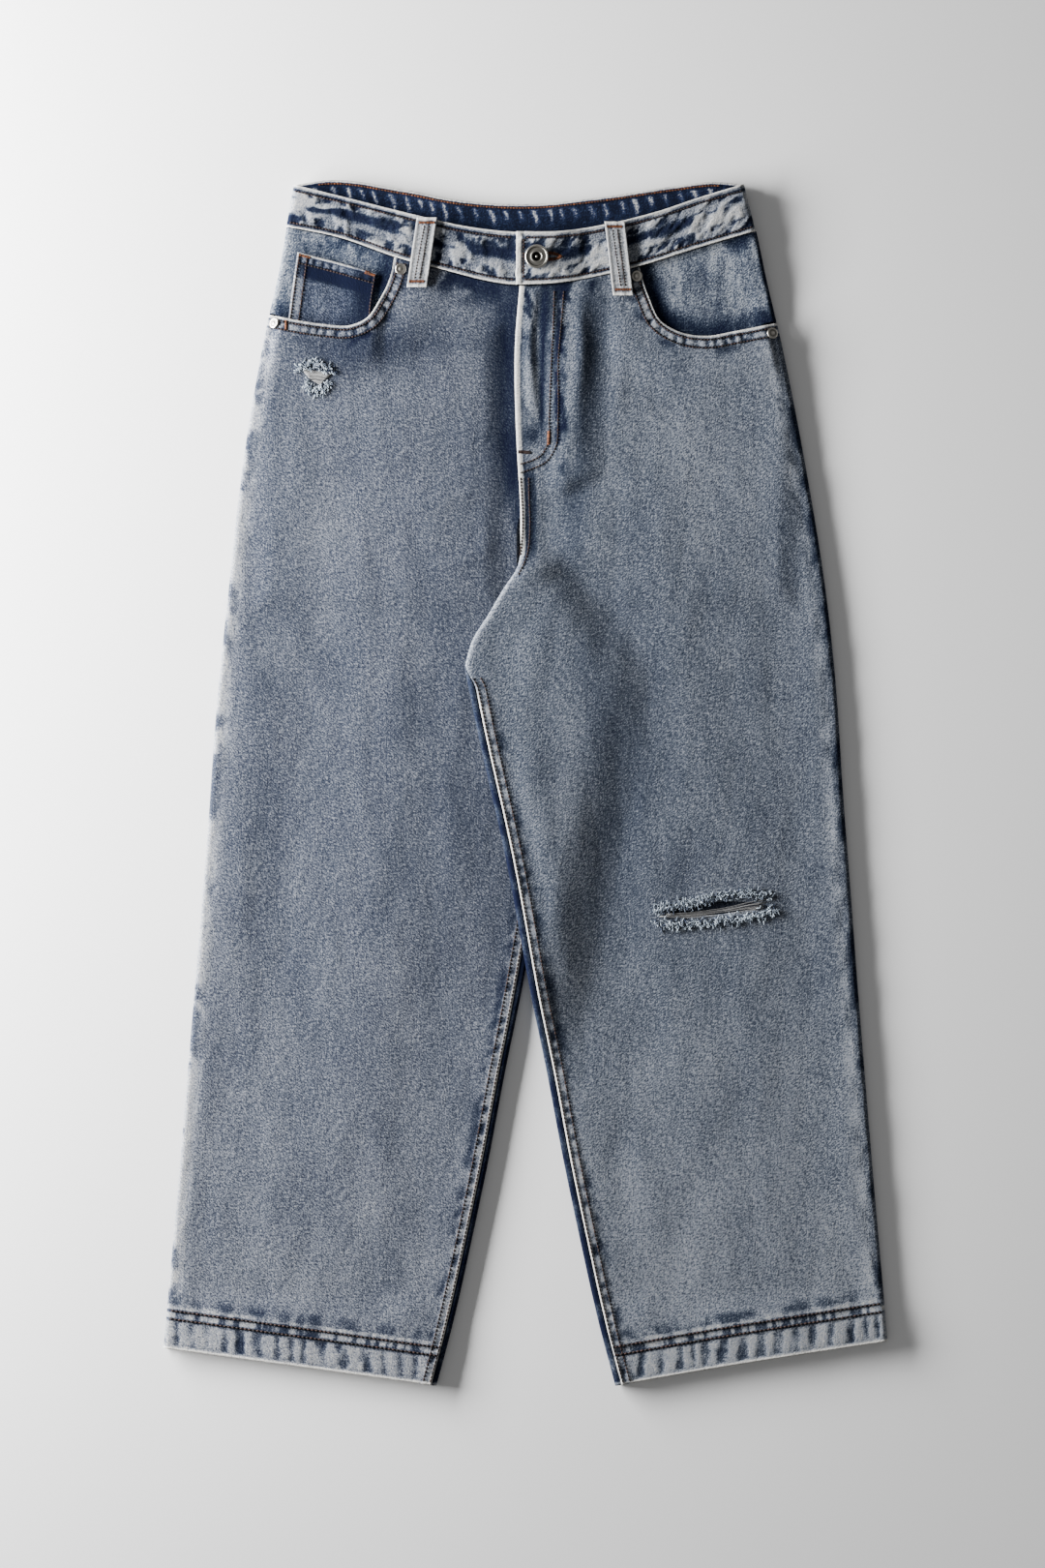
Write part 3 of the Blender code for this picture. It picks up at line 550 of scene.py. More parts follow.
hem_right = smooth([(-288, -449), (-71, -479)])
hem_left = smooth([(288, -443.5), (148, -465.5), (71, -479)])
inseam_right = [(-x, y) for x, y in INSEAM[1:]]
front_right_plan = patch(
    np.vstack([mouth_right, waist(-104.5, 4)]), side(-1, 372, -449), hem_right,
    path([(4, 395.1), (4, 226)], [(4, 226), (-5, 208), (-5, 180), (-1, 165)], HIDDEN_CROTCH,
         inseam_right),
)
front_left_plan = patch(
    np.vstack([mouth_left, waist(90.5, -5)]), side(1, 365.4, -443.5), hem_left,
    path(FLY_EDGE + FOLD, INSEAM),
)
back_right_plan = patch(
    smooth([(SIDE_TOP[-1][0], 402 - GAP), (-130, 385 - GAP), (-GAP / 2, 351.7)]),
    side(-1, 401.7, -449), hem_right,
    path([(-GAP / 2, 351.7), (-GAP / 2, 190)], [(-GAP / 2, 190), (-1, 165)], HIDDEN_CROTCH,
         inseam_right),
)
back_left_plan = patch(
    smooth([(SIDE_TOP[1][0], 402 - GAP), (130, 385 - GAP), (GAP / 2, 351.7)]),
    side(1, 401.7, -443.5), hem_left,
    path([(GAP / 2, 351.7), (GAP / 2, 174)], [(GAP / 2, 174), (-16, 152)] + FOLD[2:], INSEAM),
)


def rows_of(length, fine, step, reach=34.0):
    """Shares of a length: fine rows near both ends and even rows between."""
    top = np.arange(0, reach, fine)
    middle = np.linspace(reach, length - reach, int((length - 2 * reach) / step))
    return np.concatenate([top, middle, length - top[::-1]]) / length


def roped(gap, run, width, period, seed, edge=2.4):
    """Worn and blue shares and pucker heights on a stitched fold, by distance from its edge.

    The edge itself is rubbed pale. Inside it the shrunken thread gathers the cloth, and
    the rubbed tops alternate with blue hollows as far as the last row of stitches.
    """
    slanted = run + 0.2 * gap
    drift = clouds(run, 0, 2.6 * period, 1, seed)
    wave = 0.5 + 0.5 * np.cos(math.tau * (slanted / period + 1.2 * drift))
    size = clouds(run, gap, 0.9 * period, 0.7 * period, seed + 9)
    broken = clouds(run, gap, 0.3 * period, 0.4 * period, seed + 11)
    depth = 0.2 + 0.8 * clouds(run, gap, 1.5 * period, 1.4 * period, seed + 4)
    lumps = 1 - depth * ease(wave + 0.8 * (size - 0.5) + 0.4 * (broken - 0.5), 0.25, 1.1)
    rub = 1 - ease(gap, edge * 0.7, edge * 1.4)
    inside = ease(gap, edge * 0.8, edge * 2.2) * (1 - ease(gap, width - 1.5, width + 1.5))
    halo = ease(gap, width - 1, width + 1) * (1 - ease(gap, width + 1, width + 9))
    halo = halo * ease(clouds(slanted, gap, 7, 9, seed + 7), 0.35, 0.75)
    worn = np.maximum(1.3 * rub, inside * lumps * 0.45)
    indigo = np.maximum(inside * (1 - lumps) * 0.8, halo * 0.5)
    return worn, indigo * (1 - rub), inside * (lumps - 0.5) * 0.7 + 0.35 * rub


def groove_indigo_and_shade(gap, rows, half, soft):
    """1 in the hollows that rows of stitches draw into the cloth, whose blue there is partly indigo
    kept in them and partly painted shade.
    """
    return sum(band(gap, row - half, row + half, soft) for row in rows)


def crease(x, y, route, width, height):
    """A soft ridge, or trough for a height below 0, along a route, fading at its ends."""
    line = smooth(route, 40)
    gap, run = beside(x, y, line)
    length = np.hypot(*np.diff(line, axis=0).T).sum()
    ends = np.sin(math.pi * np.clip(run / length, 0, 1)) ** 0.7
    return height * np.exp(-((gap / width) ** 2)) * ends


def creased(x, y, creases, inset, seed):
    """Heights of a leg's creases and of its slight unevenness, with none at its edges."""
    pressed = sum(crease(x, y, *one) for one in creases) * ease(inset, 4, 24)
    return pressed + (clouds(x, y, 26, 60, seed) - 0.5) * 0.8 * ease(inset, 4, 20)


def glow(x, y, centre, reach, amount):
    """A soft lighter or darker region: a Gaussian hill of its amount, used for the wash and for
    painted light and shade.
    """
    across, down = (x - centre[0]) / reach[0], (y - centre[1]) / reach[1]
    return amount * np.exp(-(across**2) - down**2)


# Fronts. Each is one piece of 13 oz denim from the waist seam to a 25 mm turned hem,
# scooped out for the pocket; the inseam is felled and stitched twice, and the wash has
# rubbed its ridge white.
OUTER_STEPS = np.array([0, 0.8, 1.7, 2.6, 3.6, 4.7, 6, 7.3, 8.7, 10.2, 12, 14.5, 17.5, 21, 25])
INNER_STEPS = np.arange(0, 36, 1.4)
FRONT_BETWEEN = 128
FRONT_ROWS = rows_of(850, 1.4, 4.2)

# Creases pressed into the lying legs: (route, half width, height), the right leg's first.
CREASES_RIGHT = [
    ([(-150, 300), (-165, 120), (-185, -80), (-200, -260)], 26, -1.0),
    ([(-95, 200), (-110, 0), (-120, -200), (-140, -380)], 30, 1.2),
    ([(-205, 180), (-222, 0), (-236, -200)], 16, 0.9),
    ([(-40, 120), (-58, 20), (-52, -120)], 14, 0.9),
    ([(-30, 235), (-70, 222), (-120, 214)], 7, 0.7),
    ([(-24, 262), (-64, 252), (-112, 248)], 8, -0.6),
    ([(-60, 300), (-110, 292), (-165, 296)], 8, 0.6),
    ([(-20, 195), (-52, 175), (-92, 168)], 8, 0.6),
]
CREASES_LEFT = [
    ([(50, 170), (62, 20), (74, -140), (96, -300)], 22, -1.3),
    ([(112, 240), (128, 60), (144, -60)], 28, 1.0),
    ([(15, 150), (2, 60), (18, -60), (44, -200)], 13, 1.0),
    ([(190, 220), (206, 40), (216, -160), (232, -340)], 20, -0.9),
    ([(40, 262), (84, 248), (140, 244)], 8, 0.7),
    ([(42, 236), (92, 222), (150, 220)], 8, -0.6),
    ([(30, 205), (70, 190), (124, 186)], 9, 0.6),
    ([(60, 296), (110, 290), (160, 292)], 8, 0.5),
    ([(57, 384), (53, 330), (46, 270), (38, 190)], 10, -0.9),
    ([(74, 372), (72, 320), (64, 240)], 10, 0.6),
]
CREASES_FLY = [
    ([(6, 398), (3, 350), (6, 290)], 4.5, 0.9), ([(14, 398), (9, 360), (13, 285)], 3.5, -0.8),
    ([(40, 398), (44, 350), (40, 290)], 6, 0.8),
]

# Painted light on the legs' broad swells, and painted shade in their hollows and beside the fly's
# fold,
# with some unevenness of the wash: (middle, reach, amount).
SHADING_AND_WASH_RIGHT = [
    ((-150, 210), (70, 90), 0.07), ((-60, 330), (36, 60), 0.08), ((-30, 60), (50, 190), -0.06),
    ((-250, 0), (26, 330), 0.06), ((-95, 350), (60, 16), -0.2), ((-137, 344), (42, 15), -0.16),
]
SHADING_AND_WASH_LEFT = [
    ((66, 50), (52, 130), -0.12), ((86, -90), (52, 110), -0.08), ((150, 250), (60, 60), 0.06),
    ((36, -10), (14, 130), 0.13), ((225, 60), (30, 260), -0.04), ((52, 345), (11, 60), -0.26),
    ((44, 270), (9, 60), -0.18), ((38, 205), (10, 50), -0.14), ((14, 330), (24, 70), -0.05),
]


def leg_marks(grid, to_side, to_inner, hem, sign, seed):
    """Worn, blue and pucker values that both fronts share: side seam, inseam and hem, with a
    painted highlight along the right leg's outer edge.
    """
    x, y = grid[..., 0], grid[..., 1]
    below = ease(y, 84, 60)
    to_hem, hem_run = beside(x, y, hem)
    hem_worn, hem_blue, puckers = roped(to_hem, hem_run, 22, 14, seed)
    between = ease(clouds(hem_run, 0, 3.2, 1, seed + 5), 0.35, 0.65)
    hem_top = band(to_hem, 23, 33.5, 1.5) * (0.2 + 0.5 * between)
    # The stitch grooves' blue is partly indigo and partly painted shade.
    hem_blue = np.maximum(hem_blue, 0.85 * groove_indigo_and_shade(to_hem, HEM_ROWS, 0.6, 1.0))
    hem_blue = np.maximum(hem_blue, 0.6 * band(to_hem, 25.5, 29, 1) * (1 - between))
    halo = clouds(hem_run, to_hem, 9, 14, seed + 6)
    hem_blue = np.maximum(hem_blue, 0.5 * band(to_hem, 36, 39, 4) * ease(halo, 0.3, 0.8))
    seam_worn, seam_blue, seam_up = roped(to_inner, y, 8.0, 12, seed + 1, 2.0)
    blobs = ease(clouds(y + 0.6 * to_side, to_side, 15, 14, seed + 2), 0.5, 0.75)
    ridge = ease(clouds(y, to_side, 14, 16, seed + 3), 0.2, 0.8)
    if sign > 0:
        side_blue = (1 - ease(to_side, 3, 10)) * (0.1 + 0.55 * blobs)
        side_wear_and_highlight = band(to_side, 10, 13, 6) * (0.05 + 0.2 * ridge)
    else:
        # Painted highlight: this outer edge faces the key light and is painted pale over its rubbed
        # seam.
        side_blue = (1 - ease(to_side, 2, 11)) * blobs * 0.4
        side_wear_and_highlight = (1 - ease(to_side, 3, 16)) * (1 - 0.7 * blobs) * 0.55
    worn = np.maximum.reduce([hem_worn, 0.9 * hem_top, seam_worn * below, side_wear_and_highlight])
    indigo = np.maximum.reduce([hem_blue, seam_blue * below, side_blue * (1 - side_wear_and_highlight)])
    up = puckers + seam_up * below + 0.5 * band(to_hem, 0, 25, 2) * 0.6
    up += band(to_side, 4, 9, 3) * (ridge - 0.5) * 0.5
    return worn, indigo, up


def mouth_marks(x, y, mouth, seed):
    """Worn, blue and pucker values beside a pocket mouth and its two rows of stitches."""
    gap, run = beside(x, y, mouth)
    worn, blue, up = roped(gap, run, 10.5, 7, seed, 1.5)
    # The stitch grooves' blue is partly indigo and partly painted shade.
    return worn, np.maximum(blue, 0.85 * groove_indigo_and_shade(gap, MOUTH_ROWS, 0.4, 0.9)), up


def inseam_rows(grid):
    """The two columns of a front, 1.4 and 7 mm in from its inseam, where it is stitched."""
    return [grid[grid[:, -2 - k, 1] < 88, -2 - k] for k in (0, 4)]


# Right front, under the left one at the centre.
grid, to_side, to_inner = shell(front_right_plan, FRONT_ROWS, (side_edge, inner_edge_right),
                                (OUTER_STEPS, INNER_STEPS), FRONT_BETWEEN, base_right,
                                lift=lift_right)
x, y = grid[..., 0], grid[..., 1]
worn, indigo, up = leg_marks(grid, to_side, to_inner, hem_right, -1, 11)
mouth_worn, mouth_blue, mouth_up = mouth_marks(x, y, mouth_right, 31)
to_waist = beside(x, y, waist(-104.5, 4))[0]
under_band = (1 - ease(to_waist, 4, 26)) * ease(clouds(x - 0.4 * y, y, 12, 16, 32), 0.35, 0.7)
to_fly = beside(x, y, smooth(FLY_EDGE))[0]
fly_halo = (1 - ease(to_fly, 2, 30)) * ease(y, 205, 250) * (0.35 + 0.65 * clouds(x, y, 8, 40, 33))
rise = (1 - ease(to_fly, 3, 9)) * ease(y, 165, 190) * 0.5
worn = np.maximum(worn, mouth_worn)
indigo = np.maximum.reduce([indigo, mouth_blue, 0.8 * under_band, fly_halo, rise])
up += creased(x, y, CREASES_RIGHT, np.minimum(to_side, to_inner), 34)
grid[..., 2] += np.maximum(up + mouth_up, -1.0) * ease(to_waist, 1, 6)
# Painted light: the tone rises towards the hem to make up for the key light falling off there, and
# the table above adds its painted light and shade.
tone = 0.12 * ease(y, 0, -420) + sum(glow(x, y, *one) for one in SHADING_AND_WASH_RIGHT)
leg_edges = {"right": inseam_rows(grid)}
cloth("front_right", grid, LEG_DENIM["right"],
      {"worn": worn, "indigo": indigo, "tone": tone},
      doubled=1 - ease(beside(x, y, hem_right)[0], HEM_DEPTH, HEM_DEPTH + 2))

# Left front: over the right one at the fly, folded over at the crotch, torn at the knee.
TEAR_MIDDLE, TEAR_HALF, TEAR_OPEN, TEAR_TILT = (152.0, -99.0), 41.0, 5.2, 8.0
TEAR_PULL = (90, 60)  # how far round the tear the weave is drawn in line with it
grid, to_side, to_inner = shell(front_left_plan, FRONT_ROWS, (side_edge, inner_edge_left),
                                (OUTER_STEPS, INNER_STEPS), FRONT_BETWEEN, base_left,
                                lift=lift_left)
tear_column = int(np.argmin(np.abs(grid[200, :, 0] - TEAR_MIDDLE[0])))
tear_row = int(np.argmin(np.abs(grid[:, tear_column, 1] - TEAR_MIDDLE[1])))
grid, to_side, to_inner = (np.insert(part, tear_row, part[tear_row], axis=0)
                           for part in (grid, to_side, to_inner))
x, y = grid[..., 0], grid[..., 1]
line = TEAR_MIDDLE[1] + (x - TEAR_MIDDLE[0]) * math.tan(math.radians(TEAR_TILT))
near = np.exp(-(((x - TEAR_MIDDLE[0]) / TEAR_PULL[0]) ** 2) - ((y - line) / TEAR_PULL[1]) ** 2)
y += (line[tear_row] - y[tear_row])[None, :] * near
open_half = TEAR_OPEN * np.sqrt(np.clip(1 - ((x - TEAR_MIDDLE[0]) / TEAR_HALF) ** 2, 0, 1))
above = np.where(np.arange(len(grid))[:, None] <= tear_row, 1.0, -1.0)
y += above * open_half * np.exp(-np.abs(y - line) / 16)
torn = np.flatnonzero(np.abs(x[tear_row] - TEAR_MIDDLE[0]) < TEAR_HALF)
slit = (tear_row, int(torn[0]) - 1, int(torn[-1]) + 1)
worn, indigo, up = leg_marks(grid, to_side, to_inner, hem_left, 1, 12)
mouth_worn, mouth_blue, mouth_up = mouth_marks(x, y, mouth_left, 41)
to_waist = beside(x, y, waist(90.5, -5))[0]
under_band = (1 - ease(to_waist, 4, 26)) * ease(clouds(x + 0.5 * y, y, 12, 16, 42), 0.35, 0.7)
on_fly = ease(y, 240, 262)
above_fold = ease(y, 168, 190)
fly_rub = (1 - ease(to_inner, 2.6, 4.2)) * above_fold
fly_top = ease(y, 345, 378)
hollow = np.exp(-(((x - 14.5 + 0.02 * (394 - y)) / (1.9 + 4 * fly_top)) ** 2)) * on_fly
fly_mottle = band(to_inner, 5, 34, 4) * on_fly * ease(clouds(x + 0.4 * y, y, 7, 16, 43), 0.5, 0.75)
fly_streaks = np.maximum(hollow * ease(y, 268, 290), fly_mottle * (0.3 + 0.7 * fly_top))
fly_streaks = np.maximum(fly_streaks, glow(x, y, (5, 277), (7, 9), 0.9) * on_fly)
fly_pale = (band(to_inner, 9, 15, 4) + 0.6 * band(to_inner, 37, 40, 4)) * on_fly * (
    0.4 + 0.6 * clouds(x, y, 6, 40, 44))
fly_halo = band(to_inner, 30, 34, 4) * on_fly * ease(clouds(x, y, 7, 12, 45), 0.4, 0.7)
rise_halo = band(to_inner, 2, 10, 3) * above_fold * (1 - on_fly) * 0.55
fold_rub = (1 - ease(to_inner, 2, 7)) * band(y, 92, 168, 10) * 0.25
worn = np.maximum.reduce([worn, mouth_worn, 1.3 * fly_rub, 0.35 * fly_pale, fold_rub])
indigo = np.maximum.reduce([indigo, mouth_blue, 0.85 * under_band, 0.9 * fly_streaks, fly_halo,
                            rise_halo]) * (1 - fly_rub)
up += creased(x, y, CREASES_LEFT, np.minimum(to_side, to_inner), 46) + 0.4 * fly_rub
up += sum(crease(x, y, *one) for one in CREASES_FLY)
grid[..., 2] += np.maximum(up + mouth_up, -1.0) * ease(to_waist, 1, 6)
# Painted light: as on the right, and this whole front a little lighter to make up for the key
# light's weaker reach on this side.
tone = 0.03 + 0.14 * ease(y, -60, -420) + sum(glow(x, y, *one) for one in SHADING_AND_WASH_LEFT)
leg_edges["left"] = inseam_rows(grid)
cloth("front_left", grid, LEG_DENIM["left"],
      {"worn": worn, "indigo": indigo, "tone": tone},
      doubled=1 - ease(beside(x, y, hem_left)[0], HEM_DEPTH, HEM_DEPTH + 2), slit=slit)

# Backs. They lie face down on the surface; a strip of each rolls up over the inner
# edge to the inseam, where the folded allowance keeps the cloth blue.
BACK_OUTER = np.array([0, 0.8, 1.7, 2.6, 3.8, 5.2, 7, 9, 12, 15, 20])
BACK_INNER = np.array([0, 0.7, 1.4, 2.1, 2.9, 3.7, 4.5, 5.4, 6.4, 7.5, 8.7, 10, 12.5, 16, 20, 24])
BACK_ROWS = rows_of(880, 2.0, 4.6, 30)
for hand, sign, plan, edges, base, hem in (
    ("right", -1, back_right_plan, (side_edge, inner_edge_right), base_right, hem_right),
    ("left", 1, back_left_plan, (side_edge, inner_edge_left), base_left, hem_left),
):
    grid, to_side, to_inner = shell(plan, BACK_ROWS, edges, (BACK_OUTER, BACK_INNER), 60, base,
                                    upper=False)
    x, y = grid[..., 0], grid[..., 1]
    to_hem, hem_run = beside(x, y, hem)
    worn, indigo, _ = roped(to_hem, hem_run, 22, 13, 50 + sign)
    blobs = ease(clouds(y, to_inner, 12, 9, 52 + sign), 0.3, 0.7)
    beside_inseam = (1 - ease(to_inner, 8, 14)) * ease(y, 92, 70) * (0.5 + 0.5 * blobs)
    beside_side = (1 - ease(to_side, 3, 8)) * (0.3 + 0.5 * blobs)
    indigo = np.maximum.reduce([indigo, beside_inseam, beside_side])
    # Painted shadow: the back's inside is darkened where it shows through the knee tear.
    painted_tear_shadow = glow(x, y, TEAR_MIDDLE, (60, 22), -0.2)  # the front has kept light off it
    seat = glow(x, y, (sign * 110, 250), (110, 120), 0.08)
    for route, width, height in (CREASES_RIGHT if sign < 0 else CREASES_LEFT)[:4]:
        grid[..., 2] += np.maximum(crease(x, y, route, width, 0.7 * abs(height)), 0) * (
            ease(np.minimum(to_side, to_inner), 14, 40))
    cloth("back_" + hand, grid, LEG_DENIM[hand],
          {"worn": worn, "indigo": indigo, "tone": seat + painted_tear_shadow}, upper=False,
          doubled=1 - ease(to_hem, HEM_DEPTH, HEM_DEPTH + 2))


# ---------------------------------------------------------------------------------
# Yokes. The shaped pieces of the seat between the back panels and the waistband, with
# their lower edges felled over the backs.
# ---------------------------------------------------------------------------------
for hand, sign in HANDS:
    x_side, x_top = SIDE_TOP[sign]
    middle = sign * GAP / 2
    top_x = np.linspace(x_top, middle, 60)
    low = smooth([(x_side, 402), (sign * 130, 385), (middle, 352)])
    plan = patch(
        np.stack([top_x, band_low_back(top_x) - GAP], -1),
        side(sign, band_low_back(x_top) - GAP, 402), low,
        smooth([(middle, band_low_back(middle) - GAP), (middle, 352)]),
    )
    grid = shell(plan, np.linspace(0, 1, 32), (side_edge, cut_edge), (BACK_OUTER, [0]), 62,
                 base_right if sign < 0 else base_left, upper=False)[0]
    worn, indigo, _ = roped(*beside(grid[..., 0], grid[..., 1], low), 9, 8, 60 + sign)
    cloth("yoke_" + hand, grid, LEG_DENIM["right"],
          {"worn": worn, "indigo": indigo, "tone": 0.03}, upper=False)


# ---------------------------------------------------------------------------------
# Pocket facings, the denim that shows inside each mouth, and the small coin pocket
# stitched onto the right one, of a less faded cut.
# ---------------------------------------------------------------------------------
facing_denim = twill("facing_denim", "#868C95", "#424956", "#1A2231", 1)
coin_denim = twill("coin_pocket_denim", "#5A606D", "#2A303E", "#0F1524", -1, worn="#858689")
FACING_STEPS = np.array([0, 0.8, 1.7, 2.6, 3.6, 5, 7, 9, 12])

facing_right = patch(
    smooth([(x, y - GAP) for x, y in BAND_LOW_FRONT[:3]] + [(-86, 412.5)]),
    side(-1, 441.5, 373.4),
    path([(-204.1, 373.4), (-196, 371.4)], [(-196, 371.4), (-188, 359), (-168, 349), (-142, 345),
                                          (-122, 347), (-108, 356)]),
    smooth([(-86, 412.5), (-93, 385), (-108, 356)]),
)
facing_left = patch(
    smooth([(182.6, 438.1), (136, 424.5), (90, 410.1), (74, 406)]),
    side(1, 438.1, 366.8),
    path([(200, 366.8), (189, 364.6)], [(189, 364.6), (180, 348), (164, 341), (144, 338),
                                        (122, 342), (102, 353)]),
    smooth([(74, 406), (86, 380), (102, 353)]),
)
for hand, sign, plan, base in (("right", -1, facing_right, base_right),
                               ("left", 1, facing_left, base_left)):
    grid, to_side, _ = shell(plan, np.linspace(0, 1, 56), (side_edge, cut_edge),
                             (FACING_STEPS, [0]), 64, base)
    x, y = grid[..., 0], grid[..., 1]
    to_band = band_low_front(x) - y
    to_mouth = beside(x, y, mouth_right if sign < 0 else mouth_left)[0]
    blotch = clouds(x, y, 13, 18, 70 + sign)
    indigo = np.maximum.reduce([
        (1 - ease(to_band, 2, 20)) * ease(blotch, 0.35, 0.8) * 0.65,
        # painted shadow of the front's edge beside the mouth, mottled with indigo
        (1 - ease(to_mouth, 3, 20)) * (0.45 + 0.5 * blotch),
        0.22 * ease(blotch, 0.4, 0.9),
        (1 - ease(to_side, 1.5, 5)) * 0.7 * (sign > 0),
    ])
    # Painted highlight along the right facing's outer edge, which faces the key light; the clouds
    # added next are wear.
    worn = (1 - ease(to_side, 3, 9)) * 0.35 * (sign < 0)
    worn += 0.25 * ease(clouds(x, y, 7, 30, 73), 0.5, 0.8)
    inside = ease(to_mouth, 8, 20) * ease(to_side, 2, 9)
    grid[..., 2] += 0.6 * (clouds(x, y, 20, 30, 75) - 0.5) * inside
    cloth("pocket_facing_" + hand, grid, [facing_denim, denim_inside],
          {"worn": worn, "indigo": indigo, "tone": 0.05 * sign})

coin_top = smooth([(-181.3, 421.2), (-150, 413.4), (-118.2, 404.3)])
coin_left = smooth([(-181.3, 421.2), (-185.5, 392), (-189.3, 364)])
coin_right = smooth([(-118.2, 404.3), (-122, 380.4), (-124, 356)])
coin_low = smooth([(-189.3, 364), (-160, 356), (-124, 356)])


def even(plan, rows, columns):
    """An even grid over a plan: its x and y, and the plan's own u and v."""
    v, u = np.meshgrid(np.linspace(0, 1, rows), np.linspace(0, 1, columns), indexing="ij")
    plane = plan(u, v)
    return plane[..., 0], plane[..., 1], u, v


x, y = even(patch(coin_top, coin_left, coin_low, coin_right), 58, 62)[:2]
to_top, to_left, to_right = (beside(x, y, edge)[0] for edge in (coin_top, coin_left, coin_right))
top_worn, top_blue, top_up = roped(to_top, x, 8.5, 7, 81, 1.6)
left_worn = (1 - ease(to_left, 6, 10)) * (0.3 + 0.4 * clouds(x, y, 4, 9, 85)) + (
    band(to_left, 0, 1.2, 0.8) * 0.4)
right_blue = (1 - ease(to_right, 8, 34)) * 0.75 * clouds(x, y, 8, 40, 82)
below_hem = band(to_top, 9, 16, 4) * 0.85
middle_rub = glow(x, y, (-163, 383), (20, 17), 0.3) * (0.4 + 0.6 * clouds(x, y, 9, 12, 84))
indigo = np.maximum.reduce([top_blue, right_blue + (1 - ease(to_right, 0, 10)) * 0.3, below_hem])
worn = np.maximum.reduce([top_worn, left_worn, middle_rub])
z = leg_top(x, y) + CLOTH + 2.2 * GAP + top_up * 0.8 + 0.25 * left_worn
z += 0.5 * (clouds(x, y, 14, 22, 83) - 0.3) * ease(np.minimum(to_left, to_right), 2, 14)
cloth("coin_pocket", np.dstack([x, y, z]), [coin_denim, denim_inside],
      {"worn": worn, "indigo": indigo * (1 - left_worn * 0.6), "tone": -0.12})


# ---------------------------------------------------------------------------------
# Fly. A facing of the left leg's denim, stitched on under the left front's edge, where
# it hides the zip.
# ---------------------------------------------------------------------------------
fly_plan = patch(
    smooth([(24, 396), (-2, 394)]),
    smooth([(24, 396), (24, 300), (22, 264)]),
    smooth([(22, 264), (14, 256), (-4, 254)]),
    smooth([(-2, 394), (-5.5, 349), (-5, 290), (-4, 254)]),
)
x, y = even(fly_plan, 50, 10)[:2]
z = leg_top(x, y) + lift_left(x, y) - CLOTH - 1.4 * GAP
cloth("fly_facing", np.dstack([x, y, z]), LEG_DENIM["left"], {"indigo": 0.4})


# ---------------------------------------------------------------------------------
# Waistband. Two layers of denim over an interlining, folded at the top: a back piece
# whose inside shows above the front ones, and two fronts that lap at the button.
# ---------------------------------------------------------------------------------
BAND_WALL = 2.6
BACK_BAND, FRONT_BAND = 40, 41  # depths of the back and front bands
PLEAT = 11.5  # between the puckers that the shrunken stitching draws into the inside
band_denim = twill("waistband_denim", "#7D8188", "#474C57", "#1C2331", 1, worn="#959594")
band_inside = twill("waistband_inside_denim", "#28324C", "#141C31", "#080D1A", 1,
                    worn="#85878B", marks=("inner_worn", "inner_indigo"))
BAND_TOP_BACK = [(-184.6, 475.4), (-158, 479), (-98, 471.5), (-52, 463), (2, 460),
                 (56, 465), (117, 474), (148, 477.6), (173.4, 476)]
BAND_STEPS = np.array([0, 0.8, 1.7, 2.6, 3.8, 5.2, 7, 9.5, 12])
corner_right, corner_left = (-184.6, 475), (173.4, 475.5)
low_right, low_left = (-190.6, 441.8), (182.6, 438.4)


def band_edge(y):
    """As side_edge, for the band's folded end at the side seam."""
    return BAND_RADIUS + 0 * y, 0 * y, 0 * y


def band_base(x, y):
    """Height that the band lies at."""
    return BAND_LIFT + 0 * x


def band_height(y):
    """The band's own flat height."""
    return BAND_TUBE + 0 * y


def band_lap(x, y):
    """Lift of the left band's end over the right one."""
    return BAND_LAP_LIFT * (1 - ease(x, 22, 52))


back_band_plan = patch(
    smooth([corner_right] + BAND_TOP_BACK[1:-1] + [corner_left]),
    smooth([corner_right, low_right]), smooth(BAND_LOW_BACK), smooth([corner_left, low_left]),
)
back_band_rows = np.linspace(0, 1, 34)
grid = shell(back_band_plan, back_band_rows, (band_edge, band_edge), (BAND_STEPS, BAND_STEPS), 190,
             band_base, tube=band_height, upper=False, wall=BAND_WALL)[0]
x = grid[..., 0]
down = back_band_rows[:, None] * BACK_BAND
out_worn, out_blue, _ = roped(np.minimum(down, BACK_BAND - down), x, 8, 9, 91)
wander = x + 7 * clouds(x, 0, 26, 1, 92) + 1.2 * np.sin(down / 3)
off = (wander / PLEAT - np.round(wander / PLEAT)) * PLEAT
reach = 3 + 14 * clouds(x, 0, 9, 1, 94)
pleat = np.exp(-((off / (2.1 - 0.03 * down)) ** 2)) * (0.4 + 0.6 * clouds(x, down, 9, 14, 95))
pleat *= ease(down, 4, 6) * (1 - ease(down, reach, reach + 10))
made = cloth("waistband_back", grid, [band_denim, band_inside],
             {"worn": out_worn, "indigo": out_blue * 0.8}, wall=BAND_WALL, upper=False)
mark(made, "inner_worn", np.maximum(pleat * 1.3, 1.5 * (1 - ease(down, 1.4, 2.4)) + 0 * x))
mark(made, "inner_indigo", (1 - pleat) * (0.05 + 0.35 * clouds(x, down, 14, 10, 93)))

right_band_plan = patch(
    smooth([corner_right] + BAND_TOP_FRONT[1:5] + [(18, 437.6)]), smooth([corner_right, low_right]),
    smooth(BAND_LOW_FRONT[:5] + [(18, 396.6)]), smooth([(18, 437.6), (18, 396.6)]),
)
left_band_plan = patch(
    smooth([corner_left] + BAND_TOP_FRONT[8:4:-1] + [(-7.6, 437.6)]),
    smooth([corner_left, low_left]),
    smooth(BAND_LOW_FRONT[9:4:-1] + [(-7.8, 395.6)]), smooth([(-7.6, 437.6), (-7.8, 395.6)]),
)
